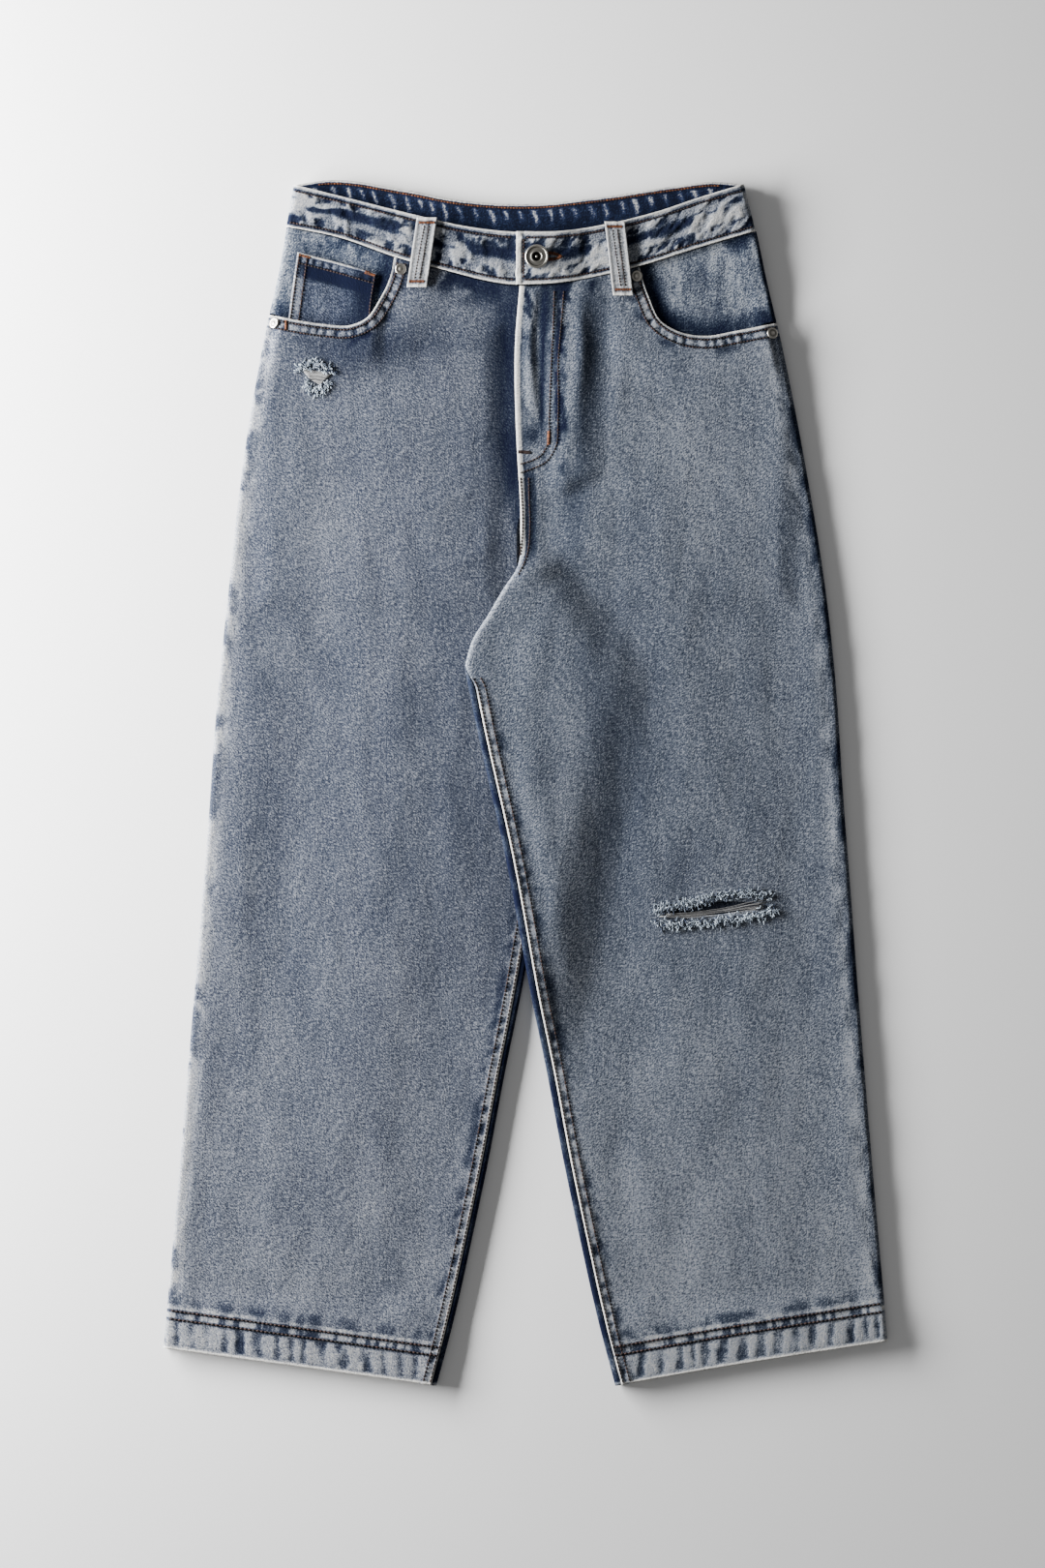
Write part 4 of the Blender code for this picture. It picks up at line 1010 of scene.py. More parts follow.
# How far each front's marks slant, its streaks' length, the share where a streak starts
# and is full, and the wear that it has everywhere.
BAND_WEAR = {"right": (6, 20, 0.25, 0.8, 0.05), "left": (22, 12, 0.5, 1.0, 0.25)}
for hand, sign, plan, lift in (("right", -1, right_band_plan, None),
                               ("left", 1, left_band_plan, band_lap)):
    slanting, streak_run, streak_from, streak_full, all_over = BAND_WEAR[hand]
    rows = np.linspace(0, 1, 46)
    grid, to_side, to_end = shell(plan, rows, (band_edge, cut_edge), (BAND_STEPS, [0]), 150,
                                  band_base, tube=band_height, lift=lift, wall=BAND_WALL)
    x, y = grid[..., 0], grid[..., 1]
    down = rows[:, None] * FRONT_BAND + 0 * x
    up_from = FRONT_BAND - down
    slant = x + slanting * down / FRONT_BAND
    edge = np.maximum(1 - ease(down, 1.0, 2.1), 1 - ease(up_from, 0.9, 1.9))
    groove = np.maximum(band(down, 3.6, 5.2, 1), band(up_from, 3.2, 4.6, 1))
    near_rows = np.maximum(band(down, 6, 12, 3), band(up_from, 5, 12, 3))
    notches = ease(clouds(slant, down, 6, 9, 101 + sign), 0.45, 0.7) * near_rows
    course = 18 + 7 * (clouds(slant, 0, 60, 1, 104 + sign) - 0.5)
    streak = np.exp(-(((down - course) / (5 + 5 * clouds(slant, 0, 18, 1, 107 + sign))) ** 2))
    streak *= ease(clouds(slant, down, streak_run, 12, 103 + sign), 0.2, 0.45)
    cloudy = ease(clouds(slant, down, 9, 12, 105 + sign), 0.3, 0.75)
    worn = np.maximum(1.25 * edge, all_over + 0.6 * cloudy)
    # The stitch grooves' blue, here and at the left band's end, is partly indigo and partly painted
    # shade.
    indigo = np.maximum.reduce([0.75 * groove, 0.7 * notches,
                                0.85 * ease(streak, streak_from, streak_full)])
    if sign > 0:
        end_rub = 1 - ease(to_end, 3.6, 5.0)
        end_groove = band(to_end, 5.0, 6.4, 1)
        worn = np.maximum(worn, 1.25 * end_rub)
        indigo = np.maximum(indigo, 0.5 * end_groove) * (1 - end_rub)
        edge = np.maximum(edge, end_rub)
        groove = np.maximum(groove, end_groove)
    indigo = indigo * (1 - edge)
    worn = worn * (1 - 0.85 * np.maximum(notches, streak) * (1 - edge))
    up = 0.35 * (edge - groove - notches) + 0.9 * (cloudy - 0.5) * band(down, 6, 35, 3)
    grid[..., 2] += up * ease(to_side, 1, 6)
    made = cloth("waistband_front_" + hand, grid, [band_denim, band_inside],
                 {"worn": worn, "indigo": indigo}, wall=BAND_WALL)
    mark(made, "inner_worn", 0 * x)
    mark(made, "inner_indigo", 0 * x + 0.4)


# ---------------------------------------------------------------------------------
# Belt loops. Strips folded in three, rubbed nearly white, tacked down at both ends:
# two over the front band and three under the back of it.
# ---------------------------------------------------------------------------------
LOOP, LOOP_WIDTH, BACK_LOOP = 2.0, 16.0, 61  # thickness, width, and length of a hidden one
loop_denim = twill("belt_loop_denim", "#989A9D", "#666A71", "#2E3543", 1, worn="#A3A2A0")


def waist_top(x, y):
    """Height of the band's outer face, easing down to the front piece below it."""
    over = BAND_LIFT + BAND_TUBE + np.where(x > -8, band_lap(x, y), 0)
    onto = ease(y, band_low_front(x) - 9, band_low_front(x) - 1)
    return onto * over + (1 - onto) * np.minimum(front_top(x, y), over)


def loop_plan(top, bottom):
    """A strip of the loop's width between the middles of its two ends."""
    (x1, y1), (x2, y2), half = top, bottom, LOOP_WIDTH / 2
    return patch(
        smooth([(x1 - half, y1), (x1 + half, y1)]), smooth([(x1 - half, y1), (x2 - half, y2)]),
        smooth([(x2 - half, y2), (x2 + half, y2)]), smooth([(x1 + half, y1), (x2 + half, y2)]),
    )


def loop_marks(u, v, length, seed):
    """Rubbed edges and ends, a blue hollow either side of the middle, and their heights."""
    off = np.abs(u - 0.5) * LOOP_WIDTH
    end = np.minimum(v, 1 - v) * length
    rub = np.maximum(ease(off, 5.4, 6.6), 1 - ease(end, 1.5, 2.5))
    spots = ease(clouds(u * LOOP_WIDTH, v * length, 3.2, 7, seed), 0.55, 0.8)
    worn = np.maximum(0.7 * rub + 0.7 * (1 - ease(end, 1.5, 2.5)), 0.3)
    indigo = 0.6 * spots * (1 - rub) * (1 - ease(end, 5, 9) * 0.6) + 0.3 * band(end, 3, 5, 1)
    up = 0.35 * rub + 0.25 * (1 - ease(off, 1.2, 2.2)) - 0.3 * band(end, 3.2, 4.8, 1)
    return worn, indigo, up


front_loops = [("front_right", (-78.5, 448.6), (-86.6, 393.5)),
               ("front_left", (70.5, 445.4), (77.2, 387))]
back_loops = [(place, (at, band_low_back(at) + BACK_BAND),
               (at, band_low_back(at) + BACK_BAND - BACK_LOOP))
              for place, at in (("side_right", -98), ("back", 2), ("side_left", 104))]
for number, (place, top, bottom) in enumerate(front_loops):
    x, y, u, v = even(loop_plan(top, bottom), 60, 20)
    worn, indigo, up = loop_marks(u, v, top[1] - bottom[1], 110 + number)
    z = waist_top(x, y) + LOOP + 2 * GAP + up
    cloth("belt_loop_" + place, np.dstack([x, y, z]), [loop_denim],
          {"worn": worn, "indigo": indigo}, wall=LOOP)
for number, (place, top, bottom) in enumerate(back_loops):
    x, y, u, v = even(loop_plan(top, bottom), 60, 20)
    worn, indigo, up = loop_marks(u, v, BACK_LOOP, 120 + number)
    cloth("belt_loop_" + place, np.dstack([x, y, 0.6 - up * 0.6]), [loop_denim],
          {"worn": worn, "indigo": indigo}, wall=LOOP - 0.6, upper=False)


# ---------------------------------------------------------------------------------
# Back pockets. Plain five-sided patches, hemmed at the top and stitched twice round.
# ---------------------------------------------------------------------------------
for hand, sign in HANDS:
    outline = ([(187, 331), (48, 338)], [(187, 331), (180, 190)],
               [(180, 190), (117, 170), (55, 194)], [(48, 338), (55, 194)])
    edges = [smooth([(sign * x, y) for x, y in run]) for run in outline]
    x, y = even(patch(*edges), 84, 76)[:2]
    rim = np.minimum.reduce([beside(x, y, edge)[0] for edge in edges])
    worn, indigo, up = roped(rim, x + y, 9, 8, 130 + sign)
    up *= np.where(rim < 12, 0.5, 0)
    cloth("back_pocket_" + hand, np.dstack([x, y, 0.5 - up]), LEG_DENIM[hand],
          {"worn": worn, "indigo": indigo, "tone": 0.05}, wall=CLOTH - 0.2, upper=False)


# ---------------------------------------------------------------------------------
# Thread. Thick spun polyester topstitching, dark brown, with orange bar tacks where a
# pocket or a loop takes a strain. Every stitch is a short length lying on the cloth.
# ---------------------------------------------------------------------------------
STITCH_PITCH, THREAD = 3.1, 1.35  # thread drawn a little thick, so that single stitches show


def spun(name, light, dark):
    """Spun thread: a colour between the two for each length, with its twist as fine bump."""
    made, tree, shader = blank(name, 0.75)
    shader.inputs["Specular IOR Level"].default_value = 0.3
    shade = add(tree, "ShaderNodeAttribute", {}, "Fac", attribute_name="shade")
    tree.links.new(graded(tree, shade, [(0, dark), (1, light)]), shader.inputs["Base Color"])
    here = add(tree, "ShaderNodeTexCoord", {}, "Object")
    twist = add(tree, "ShaderNodeTexNoise", {
        "Vector": here, "Scale": 1 / (0.4 * MM), "Detail": 1.0,
    })
    relief = add(tree, "ShaderNodeBump", {"Height": twist, "Strength": 0.4, "Distance": 0.1 * MM})
    tree.links.new(relief, shader.inputs["Normal"])
    return made


brown_thread = spun("brown_topstitch_thread", "#2B1812", "#0B0706")
orange_thread = spun("orange_tack_thread", "#6A3A1B", "#2C1609")


def strands(name, lines, radii, sides, finish, seed, spread=(0.0, 1.0)):
    """Many short round threads in one mesh, each carried along its own line of points.

    Round each point lies a ring of the thread's radius there, across the line's
    direction, and the two ends are closed.
    """
    lines = np.asarray(lines, float)
    count, length = lines.shape[:2]
    radii = np.broadcast_to(radii, (count, length))[..., None, None]
    way = np.gradient(lines, axis=1)
    way /= np.linalg.norm(way, axis=2, keepdims=True) + 1e-9
    flat = np.cross(way, (0.03, 0.05, 1.0))
    flat /= np.linalg.norm(flat, axis=2, keepdims=True) + 1e-9
    rise = np.cross(flat, way)
    turn = np.arange(sides) * math.tau / sides
    ring = np.cos(turn)[:, None] * flat[:, :, None] + np.sin(turn)[:, None] * rise[:, :, None]
    points = (lines[:, :, None] + radii * ring).reshape(-1, 3)
    index = np.arange(len(points)).reshape(count, length, sides)
    near, far = index[:, :-1], index[:, 1:]
    walls = np.stack([near, np.roll(near, -1, 2), np.roll(far, -1, 2), far], -1).reshape(-1, 4)
    start, end = index[:, 0], index[:, -1]
    caps = []
    for k in range(1, sides - 2, 2):
        caps.append(np.stack([start[:, 0], start[:, k + 2], start[:, k + 1], start[:, k]], -1))
        caps.append(np.stack([end[:, 0], end[:, k], end[:, k + 1], end[:, k + 2]], -1))
    obj = mesh_of(name, points, np.vstack([walls, *caps])[:, ::-1].tolist(), [finish])
    shade = np.random.default_rng(seed).uniform(*spread, count)
    mark(obj, "shade", np.repeat(shade, length * sides))
    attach(obj, "root")
    return obj


def on_cloth(route, piece):
    """A plan route laid on a piece: points a millimetre apart and the way out of the cloth."""
    upper = piece in faces_up
    tree = faces_up[piece] if upper else faces_down[piece]
    size = np.hypot(*np.diff(route, axis=0).T).sum()
    down = -1.0 if upper else 1.0
    hits = [tree.ray_cast((x, y, -60 * down), (0, 0, down))
            for x, y in along(route, np.linspace(0, 1, int(size) + 2))]
    found = [(hit[0], hit[1] if hit[1].z * down < 0 else -hit[1]) for hit in hits if hit[0]]
    return np.array([a for a, _ in found]), np.array([b for _, b in found])


def on_edge(points, piece):
    """As on_cloth, for points that already lie on a front piece, however steep it is there."""
    ups = [faces_up[piece].find_nearest(point)[1] for point in points.tolist()]
    return points, np.array([up if up.z >= -0.2 else -up for up in ups])


def beside_route(route, off):
    """A route moved sideways in plan, to the left of its run for a positive offset."""
    way = np.gradient(route, axis=0)
    way /= np.linalg.norm(way, axis=1, keepdims=True)
    return route + off * np.stack([-way[:, 1], way[:, 0]], -1)


def stitched(points, ups, pitch=STITCH_PITCH, thread=THREAD):
    """The stitches of one row: each a line of three points along the row, its middle raised."""
    at = np.concatenate([[0], np.cumsum(np.linalg.norm(np.diff(points, axis=0), axis=1))])
    middle = np.arange(pitch, at[-1] - 0.6 * pitch, pitch)
    lines = []
    for off, up in ((-0.43, -0.22), (0.0, 0.28), (0.43, -0.22)):
        asked = middle + off * pitch
        place = np.stack([np.interp(asked, at, points[:, k]) for k in range(3)], -1)
        out = np.stack([np.interp(asked, at, ups[:, k]) for k in range(3)], -1)
        lines.append(place + out * up * thread)
    return np.stack(lines, 1)


def sewn(name, rows, finish, seed, pitch=STITCH_PITCH, thread=THREAD):
    """Rows of stitches as one piece."""
    lines = np.vstack([stitched(points, ups, pitch, thread) for points, ups in rows])
    strands(name, lines, thread / 2 * np.array([0.55, 1.0, 0.55]), 6, finish, seed)


def tacked(name, tacks, finish, seed):
    """Bar tacks: close strands across a short line, each (piece, start, end, width)."""
    lines = []
    for piece, start, end, width in tacks:
        start, end = np.array(start, float), np.array(end, float)
        size = np.linalg.norm(end - start)
        way = (end - start) / size
        across = np.array([-way[1], way[0]])
        for at in np.arange(0, size, 0.62):
            middle = start + way * at
            route = np.stack([middle - across * width / 2, middle, middle + across * width / 2])
            points, ups = on_cloth(route, piece)
            lines.append([points[0] - ups[0] * 0.1, points[len(points) // 2] + ups[0] * 0.55,
                          points[-1] - ups[-1] * 0.1])
    strands(name, np.array(lines), 0.36, 6, finish, seed)


def crossing(x1, y1, x2, y2):
    """A straight route in plan."""
    return np.linspace((x1, y1), (x2, y2), 30)


# Legs: two rows beside each inseam, two above each hem and two at the yokes and seat.
leg_rows = []
for hand in ("right", "left"):
    leg_rows += [on_edge(row, "front_" + hand + "_cloth") for row in leg_edges[hand]]
sewn("inseam_stitches", leg_rows, brown_thread, 201)
hem_rows = []
for hand, hem, sign in (("right", hem_right, 1), ("left", hem_left, -1)):
    for off in HEM_ROWS:
        for face in ("front_", "back_"):
            hem_rows.append(on_cloth(beside_route(hem, sign * off), face + hand + "_cloth"))
sewn("hem_stitches", hem_rows, brown_thread, 202, 3.3, 1.8)
seat_rows = []
for hand, sign in HANDS:
    low = smooth([(sign * 4, 354), (sign * 130, 387), (SIDE_TOP[sign][0] - sign * 4, 403)])
    for off in (2.0, 8.0):
        seat_rows.append(on_cloth(low + (0, off), "yoke_" + hand + "_cloth"))
    pocket = ([(sign * 184, 322), (sign * 178, 193)], [(sign * 178, 193), (sign * 117, 173),
              (sign * 57, 197)], [(sign * 57, 197), (sign * 51, 330)])
    for run in pocket:
        for off in (0.0, 5.5):
            middle = np.array((sign * 117.0, 262.0))
            route = smooth(run)
            inward = (middle - route) / np.linalg.norm(middle - route, axis=1, keepdims=True)
            seat_rows.append(on_cloth(route + inward * (1 + off), "back_pocket_" + hand + "_cloth"))
    for off in (8.0, 14.0):
        seat_rows.append(on_cloth(crossing(sign * 180, 331.3 - off, sign * 56, 337.5 - off),
                                  "back_pocket_" + hand + "_cloth"))
for off in (2.5, 8.0):
    seat_rows.append(on_cloth(crossing(off, 346, off, 196), "back_left_cloth"))
sewn("seat_stitches", seat_rows, brown_thread, 203)

# Pocket mouths, coin pocket, fly and front rise.
mouth_rows = []
for hand, mouth, sign in (("right", mouth_right, -1), ("left", mouth_left, 1)):
    for off in MOUTH_ROWS:
        mouth_rows.append(on_cloth(beside_route(mouth, sign * off), "front_" + hand + "_cloth"))
sewn("mouth_stitches", mouth_rows, brown_thread, 204, 2.6, 1.45)
coin_rows = [on_cloth(route, "coin_pocket_cloth") for route in (
    beside_route(coin_top, -8.0), beside_route(coin_left, 1.6), beside_route(coin_left, 8.2),
    beside_route(coin_right, -1.6))]
sewn("coin_pocket_stitches", coin_rows, brown_thread, 205, 2.6, 1.35)
J_INNER = [(22.6, 392), (21.9, 368.8), (19.6, 320), (18.5, 289.5), (17.6, 270), (11.6, 260),
           (3, 255.5), (-5.5, 253)]
J_OUTER = [(30.2, 392), (29, 375), (25.8, 336.5), (25.5, 289.5), (23.3, 266), (16.6, 255.6),
           (5, 249.6), (-5, 246)]
fly_rows = [on_cloth(smooth(route), "front_left_cloth") for route in (
    J_INNER, J_OUTER, [(-4.4, 244), (-3.2, 225), (-2.6, 204), (-4.6, 180)],
    [(2.2, 244), (2.6, 225), (3.2, 204), (0.6, 180), (-7, 163)])]
sewn("fly_stitches", fly_rows, brown_thread, 206, 2.6, 1.35)
tacked("fly_tack_brown", [("front_left_cloth", (-6, 263), (3.5, 262.4), 2.4)], brown_thread, 207)
tacked("fly_tack_orange", [("front_left_cloth", (18.3, 279), (18.0, 269), 2.4)], orange_thread, 208)
tacked("pocket_tacks", [
    ("coin_pocket_cloth", (-180.0, 419.6), (-171.5, 417.6), 2.6),
    ("coin_pocket_cloth", (-127.5, 405.6), (-119.6, 403.4), 2.6),
    ("front_right_cloth", (-190.5, 367.0), (-190.5, 360.0), 2.0),
], orange_thread, 209)

# Waistband and loops.
top_line, low_line = smooth(BAND_TOP_FRONT), smooth(BAND_LOW_FRONT)
band_rows = []
for hand, sign, end in (("right", -1, 9), ("left", 1, -3)):
    for line, off in ((top_line, -4.4), (low_line, 3.6)):
        part = line[sign * line[:, 0] > end]
        band_rows.append(on_cloth(beside_route(part, off), "waistband_front_" + hand + "_cloth"))
band_rows.append(on_cloth(crossing(-1.6, 433, -1.9, 399.5), "waistband_front_left_cloth"))
back_top, back_low = smooth(BAND_TOP_BACK), smooth(BAND_LOW_BACK)
band_rows += [on_cloth(beside_route(back_top, -4.4), "waistband_back_cloth"),
              on_cloth(beside_route(back_low, 4.0), "waistband_back_cloth")]
sewn("waistband_stitches", band_rows, brown_thread, 210, 2.6, 1.5)
inner_top = on_cloth(beside_route(back_top, -3.0)[6:-6], "waistband_back_cloth")
inner_top = (inner_top[0] + (0, 0, BAND_WALL), -inner_top[1])
sewn("waistband_inner_stitches", [inner_top], orange_thread, 211, 2.4, 1.5)
loop_rows, loop_tacks = [], []
for place, (x1, y1), (x2, y2) in front_loops + back_loops:
    piece, low_tack = "belt_loop_" + place + "_cloth", 4.6 if "front" in place else 4
    for off in (-1.9, 1.9):
        loop_rows.append(on_cloth(crossing(x1 + off, y1 - 5, x2 + off, y2 + 6), piece))
    loop_tacks += [(piece, (x1 - 6, y1 - 4), (x1 + 6, y1 - 4), 1.6),
                   (piece, (x2 - 6, y2 + low_tack), (x2 + 6, y2 + low_tack), 1.6)]
sewn("loop_stitches", loop_rows, brown_thread, 212, 2.4, 1.15)
tacked("loop_tacks", loop_tacks, orange_thread, 213)

# Buttonhole: satin strands round a keyhole whose point shows past the button.
hole = smooth([(10, 419.4), (19, 420.6), (24, 419.8), (28.2, 417.6), (24, 415.6), (19, 415.0),
               (10, 415.8)], 60)
points, ups = on_cloth(hole, "waistband_front_left_cloth")
core = np.array((18.0, 417.7, 0))
inward = core - points
inward[:, 2] = 0
inward[:, 0] *= 0.25
inward /= np.linalg.norm(inward, axis=1, keepdims=True)
satin = np.stack([points - 0.9 * inward, points + ups * 0.45, points + 1.5 * inward], 1)
strands("buttonhole_stitches", satin, 0.4, 6, orange_thread, 214)


# ---------------------------------------------------------------------------------
# Rips. At the knee the warp is torn through: undyed weft threads hang across the slit
# and the cut warp stands up as a blue and white fringe. At the hip it is only worn thin.
# ---------------------------------------------------------------------------------
weft_yarn = spun("undyed_weft_yarn", "#A09F9E", "#2C2D30")
warp_yarn = spun("frayed_warp_yarn", "#B7C3CD", "#0B1A36")
dice = np.random.default_rng(77)


def fringe(name, lips, piece, seed, shades=(0.0, 1.0)):
    """Short curled warp ends along each lip: (route, count, reach, length, lean).

    Each end starts within the lip's reach of its route, and its three further points
    wander out from there by a share of its length.
    """
    lines = []
    for route, count, reach, length, lean in lips:
        at = along(smooth(route), dice.uniform(0, 1, count))
        at = at + dice.normal(0, 1, (count, 2)) * (0.5, reach)
        start = np.array([faces_up[piece].find_nearest((px, py, 6.0))[0] for px, py in at])
        start[:, :2] = at
        size = length * dice.uniform(0.5, 1.2, (count, 1))
        way = np.stack([dice.normal(0, 0.55, count), lean + dice.normal(0, 0.5, count),
                        dice.uniform(0.05, 0.3, count)], -1)
        way /= np.linalg.norm(way, axis=1, keepdims=True)
        bend = dice.normal(0, 0.28, (count, 3)) * (1, 1, 0.25)
        steps = [start + (0, 0, 0.15)]
        for share, curl in ((0.35, 0.5), (0.7, 1.0), (1.0, 0.3)):
            steps.append(start + size * (way * share + bend * curl) + (0, 0, 0.35 + 0.5 * curl))
        lines.append(np.stack(steps, 1))
    strands(name, np.vstack(lines), (0.34, 0.36, 0.32, 0.18), 4, warp_yarn, seed, shades)


UPPER_LIP = [(101.5, -101.8), (121.3, -97.5), (144.4, -92.0), (168.2, -88.3), (195.2, -90.5)]
LOWER_LIP = [(103, -110.8), (132.1, -111.6), (160.5, -108.6), (183.6, -105.2), (199.8, -100.6)]
fringe("knee_fringe", [(UPPER_LIP, 330, 1.5, 3.6, 0.2), (LOWER_LIP, 400, 1.7, 4.2, -0.5)],
       "front_left_cloth", 221)
fringe("knee_fringe_blue", [([(105, -99), (121.3, -95), (150, -89.5)], 190, 1.1, 6.0, -2.2),
                            ([(150, -90), (172, -86), (194, -88)], 60, 1.1, 3.6, -0.6)],
       "front_left_cloth", 225, (0.05, 0.55))
count = 11
start_share = np.linspace(0, 1, count)[:, None]
end_share = np.clip(start_share + dice.normal(0, 0.07, (count, 1)), 0, 1)
t = np.linspace(0, 1, 14)
low = smooth([(106, -106.5), (142.8, -106.3), (187, -101.8)], 14)
high = smooth([(112, -103.8), (133.2, -102.6), (160, -99.0), (178, -94.2), (193, -91.8)], 14)
blend = start_share + (end_share - start_share) * t
wefts = low[None] * (1 - blend[..., None]) + high[None] * blend[..., None]
wefts[..., 1] += dice.normal(0, 0.35, (count, 1)) * np.sin(math.pi * t)
wefts[..., 1] += 0.35 * np.sin(t * dice.uniform(4, 9, (count, 1)) + dice.uniform(0, 6, (count, 1)))
over = front_top(wefts[..., 0], wefts[..., 1]) + 0.1 + dice.uniform(0, 0.7, (count, 1))
sag = 0.78 * np.sin(math.pi * np.clip((wefts[..., 0] - 118) / 72, 0, 1))
strands("knee_weft_threads", np.dstack([wefts, over - sag]), 0.22, 5, weft_yarn, 222)

HIP_TOP = [(-182, 327.5), (-172, 332.5), (-160, 331), (-153, 326)]
HIP_LOW = [(-176, 316.5), (-166, 311.5), (-155, 317)]
fringe("hip_fringe", [(HIP_TOP, 170, 1.5, 3.4, 0.1), (HIP_LOW, 130, 2.2, 3.2, -0.2)],
       "front_right_cloth", 223)
count = 22
share = np.linspace(0, 1, count)[:, None]
t = np.linspace(0, 1, 8)[None]
left, right = -177.5 + 12 * share**1.5, -153.5 - 9 * share
hx = left + (right - left) * t
hy = 328.5 - 11.5 * share - 3.0 * t * (1 - share) + 0.3 * np.sin(9 * t + 7 * share)
hz = front_top(hx, hy) + 0.55 + 0.2 * np.sin(5 * share)
strands("hip_weft_threads", np.dstack([hx, hy, hz]), 0.3, 5, weft_yarn, 224)


# ---------------------------------------------------------------------------------
# Metal. A pressed doughnut tack button and four small copper-backed rivets, nickel
# plated and then blackened, so that only the raised edges are bright.
# ---------------------------------------------------------------------------------
def turned(name, profile, sides, place, normal, finish):
    """A solid turned about its axis from a profile of (radius, height, tarnish).

    The point at profile k and angle a is (r cos a, r sin a, z), and the two ends of the
    profile are on the axis, one point each.
    """
    profile = np.array(profile)
    radius, height, tarnish = profile[1:-1].T
    angle = np.arange(sides) * math.tau / sides
    body = np.dstack([radius[:, None] * np.cos(angle), radius[:, None] * np.sin(angle),
                      height[:, None] + 0 * angle]).reshape(-1, 3)
    points = np.vstack([body, (0, 0, profile[0, 1]), (0, 0, profile[-1, 1])])
    index = np.arange(len(body)).reshape(-1, sides)
    ahead = np.roll(index, -1, 1)
    quads = np.stack([index[:-1], ahead[:-1], ahead[1:], index[1:]], -1).reshape(-1, 4)
    low, high = len(body), len(body) + 1
    fans = [(low, b, a) for a, b in zip(index[0], ahead[0])]
    fans += [(high, a, b) for a, b in zip(index[-1], ahead[-1])]
    turn = Vector(normal).to_track_quat("Z", "Y").to_matrix()
    points = points @ np.array(turn).T + place
    obj = mesh_of(name, points, quads.tolist() + fans, [finish])
    mark(obj, "tarnish", np.concatenate([np.repeat(tarnish, sides), profile[[0, -1], 2]]))
    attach(obj, "root")
    return obj


antique_nickel, tree, shader = blank("antique_nickel_plate", 0.34, 1.0)
dull = add(tree, "ShaderNodeAttribute", {}, "Fac", attribute_name="tarnish")
here = add(tree, "ShaderNodeTexCoord", {}, "Object")
scuffs = add(tree, "ShaderNodeTexNoise", {"Vector": here, "Scale": 1 / (0.9 * MM), "Detail": 4.0})
grime = add(tree, "ShaderNodeMath", {0: scuffs, 1: 0.5, 2: dull}, operation="MULTIPLY_ADD")
plate = graded(tree, grime, [(0.15, "#B9B5AD"), (1, "#1E1C1A")])
tree.links.new(plate, shader.inputs["Base Color"])
rough = add(tree, "ShaderNodeMath", {0: grime, 1: 0.3, 2: 0.22}, operation="MULTIPLY_ADD")
tree.links.new(rough, shader.inputs["Roughness"])
dents = add(tree, "ShaderNodeBump", {"Height": scuffs, "Strength": 0.35, "Distance": 0.12 * MM})
tree.links.new(dents, shader.inputs["Normal"])

BUTTON = [
    (0, 0, 0.5), (3.6, 0, 0.5), (3.6, 0.9, 0.6), (8.1, 0.9, 0.6), (9.1, 1.3, 0.4), (9.5, 2.1, 0.15),
    (9.42, 2.7, 0.1), (9.1, 3.2, 0.0), (8.6, 3.48, 0.0), (8.1, 3.48, 0.0), (7.7, 3.2, 0.3),
    (7.45, 2.8, 0.75), (7.2, 2.62, 0.6), (6.9, 2.66, 0.25), (5.2, 2.66, 0.2), (4.9, 2.8, 0.25),
    (4.5, 3.05, 0.0), (4.1, 3.1, 0.0), (3.75, 2.9, 0.2), (3.5, 2.3, 0.8), (3.3, 1.6, 1.0),
    (2.6, 1.45, 1.0), (1.5, 1.5, 1.0), (1.15, 1.9, 0.6), (0.8, 2.35, 0.1), (0.4, 2.5, 0.0),
    (0, 2.55, 0.0),
]
button_place = (8.6, 417.5, BAND_LIFT + BAND_TUBE + BAND_LAP_LIFT + GAP)
button = turned("tack_button", BUTTON, 72, button_place, (0, 0, 1), antique_nickel)
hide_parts("button")

RIVET = [
    (0, 0, 0.3), (4.5, 0, 0.3), (4.5, 0.45, 0.1), (4.25, 0.85, 0.0), (3.8, 1.08, 0.0),
    (3.2, 1.12, 0.1), (2.7, 1.0, 0.55), (2.2, 0.9, 0.5), (1.6, 0.95, 0.25), (1.1, 1.15, 0.1),
    (0.6, 1.36, 0.0), (0, 1.4, 0.0),
]
REACH = 2.5  # how far each way the cloth's slope under a rivet is measured
for place, rx, ry in (("waist_right", -99.5, 408.0), ("waist_left", 88.2, 402.4),
                      ("side_right", -199.6, 365.0), ("side_left", 195.6, 357.0)):
    slope_x = (front_top(rx + REACH, ry) - front_top(rx - REACH, ry)) / (2 * REACH)
    slope_y = (front_top(rx, ry + REACH) - front_top(rx, ry - REACH)) / (2 * REACH)
    normal = Vector((-slope_x, -slope_y, 1)).normalized()
    seat = np.array((rx, ry, float(front_top(rx, ry)))) + np.array(normal) * (GAP + 0.3)
    rivet = turned(place + "_rivet", RIVET, 40, seat, normal, antique_nickel)
    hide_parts("rivet_" + place)


# ---------------------------------------------------------------------------------
# Zip. Closed under the fly: pressed metal teeth clamped by turns to two woven polyester
# tapes, which are sewn to the facings. Only its place is real, since the fly hides it.
# ---------------------------------------------------------------------------------
TAPE_WALL, TAPE_DEPTH = 0.8, 0.4  # its face lies this far under the leg's own height
TOOTH_PITCH, TOOTH, TOOTH_REACH = 1.6, 0.45, 2.2
zip_top, zip_low, tape_edges = 390, 260, (8, 22)

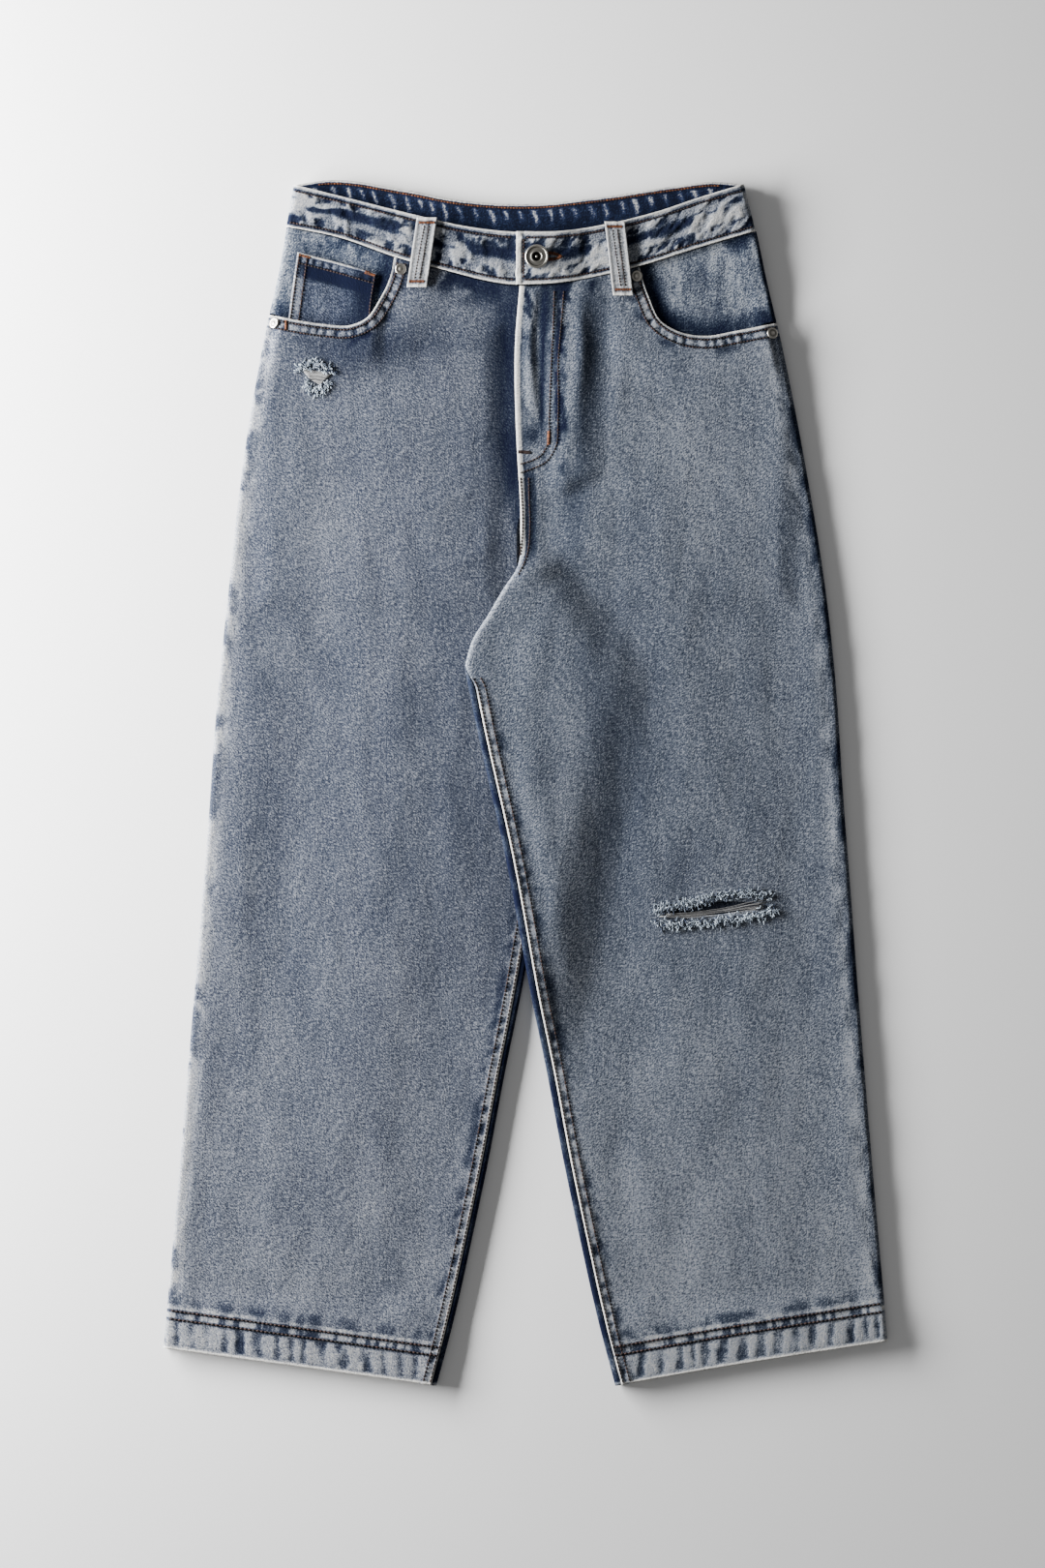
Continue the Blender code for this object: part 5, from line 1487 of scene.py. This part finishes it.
tape_weave, tree, shader = blank("woven_polyester_tape", 0.8)
cut = add(tree, "ShaderNodeUVMap", {}, uv_map="cut")
ribs = add(tree, "ShaderNodeVectorMath", {0: cut, 1: (1 / (4 * MM), 1 / (0.9 * MM), 1)},
           operation="MULTIPLY")
weave = add(tree, "ShaderNodeTexNoise", {"Vector": ribs, "Scale": 1.0, "Detail": 2.0})
dye = graded(tree, weave, [(0, "#10141F"), (1, "#2A3040")])
tree.links.new(dye, shader.inputs["Base Color"])
relief = add(tree, "ShaderNodeBump", {"Height": weave, "Strength": 0.4, "Distance": 0.2 * MM})
tree.links.new(relief, shader.inputs["Normal"])

y, x = np.meshgrid(np.linspace(zip_top, zip_low, 80), np.linspace(*tape_edges, 12), indexing="ij")
cloth("fly_zip", np.dstack([x, y, leg_top(x, y) - TAPE_DEPTH]), [tape_weave], {},
      wall=TAPE_WALL, name="fly_zip_tape")

tooth_y = np.arange(zip_top - 6, zip_low + 6, -TOOTH_PITCH)
sides = np.where(np.arange(len(tooth_y)) % 2, 1.0, -1.0)
reach = np.array((-0.25, 0.4, 1.0)) * TOOTH_REACH
tooth_x = sum(tape_edges) / 2 + sides[:, None] * reach
tooth_z = leg_top(tooth_x, tooth_y[:, None]) - 0.1
rows = np.dstack([tooth_x, tooth_y[:, None] + 0 * tooth_x, tooth_z])
teeth = strands("fly_zip_teeth", rows, TOOTH, 6, antique_nickel, 231)
mark(teeth, "tarnish", np.full(len(teeth.data.vertices), 0.35))


# ---------------------------------------------------------------------------------
# Studio. A pale floor and a long-lens camera straight above. One soft key light, low
# at the upper left, rakes the cloth and draws its shadow; the sky of the room fills.
# ---------------------------------------------------------------------------------
VIEW_HEIGHT = 1.2474  # what the picture's long side covers on the floor
CAMERA_HEIGHT = 4.5
FLOOR_HALF = 6000
paper, tree, shader = blank("matt_backdrop_paper", 0.9)
shader.inputs["Base Color"].default_value = linear("#ECECEC")
shader.inputs["Specular IOR Level"].default_value = 0.1
corners = np.array([(-1, -1, 0), (1, -1, 0), (1, 1, 0), (-1, 1, 0)])
floor = mesh_of("floor", corners * FLOOR_HALF, [(0, 1, 2, 3)], [paper])
floor.location = (0, 0, -0.0004)

camera = bpy.data.objects.new("camera", bpy.data.cameras.new("camera"))
camera.data.angle = 2 * math.atan(VIEW_HEIGHT / 2 / CAMERA_HEIGHT)
camera.data.clip_end = 50
camera.location = (-0.0027, -0.0008, CAMERA_HEIGHT)
bpy.context.scene.collection.objects.link(camera)
bpy.context.scene.camera = camera

KEY_PLACE, KEY_AIM = Vector((-1.06, 0.26, 0.29)), Vector((-0.1, 0, 0))
key = bpy.data.objects.new("key_light", bpy.data.lights.new("key_light", "AREA"))
key.data.energy = 130
key.data.shape = "RECTANGLE"
key.data.size = 1.3
key.data.size_y = 0.3
key.location = KEY_PLACE
key.rotation_euler = (KEY_AIM - KEY_PLACE).to_track_quat("-Z", "Y").to_euler()
bpy.context.scene.collection.objects.link(key)

world = bpy.data.worlds.new("studio")
world.use_nodes = True
world.node_tree.nodes["Background"].inputs["Color"].default_value = (1, 1, 1, 1)
world.node_tree.nodes["Background"].inputs["Strength"].default_value = 0.22
bpy.context.scene.world = world
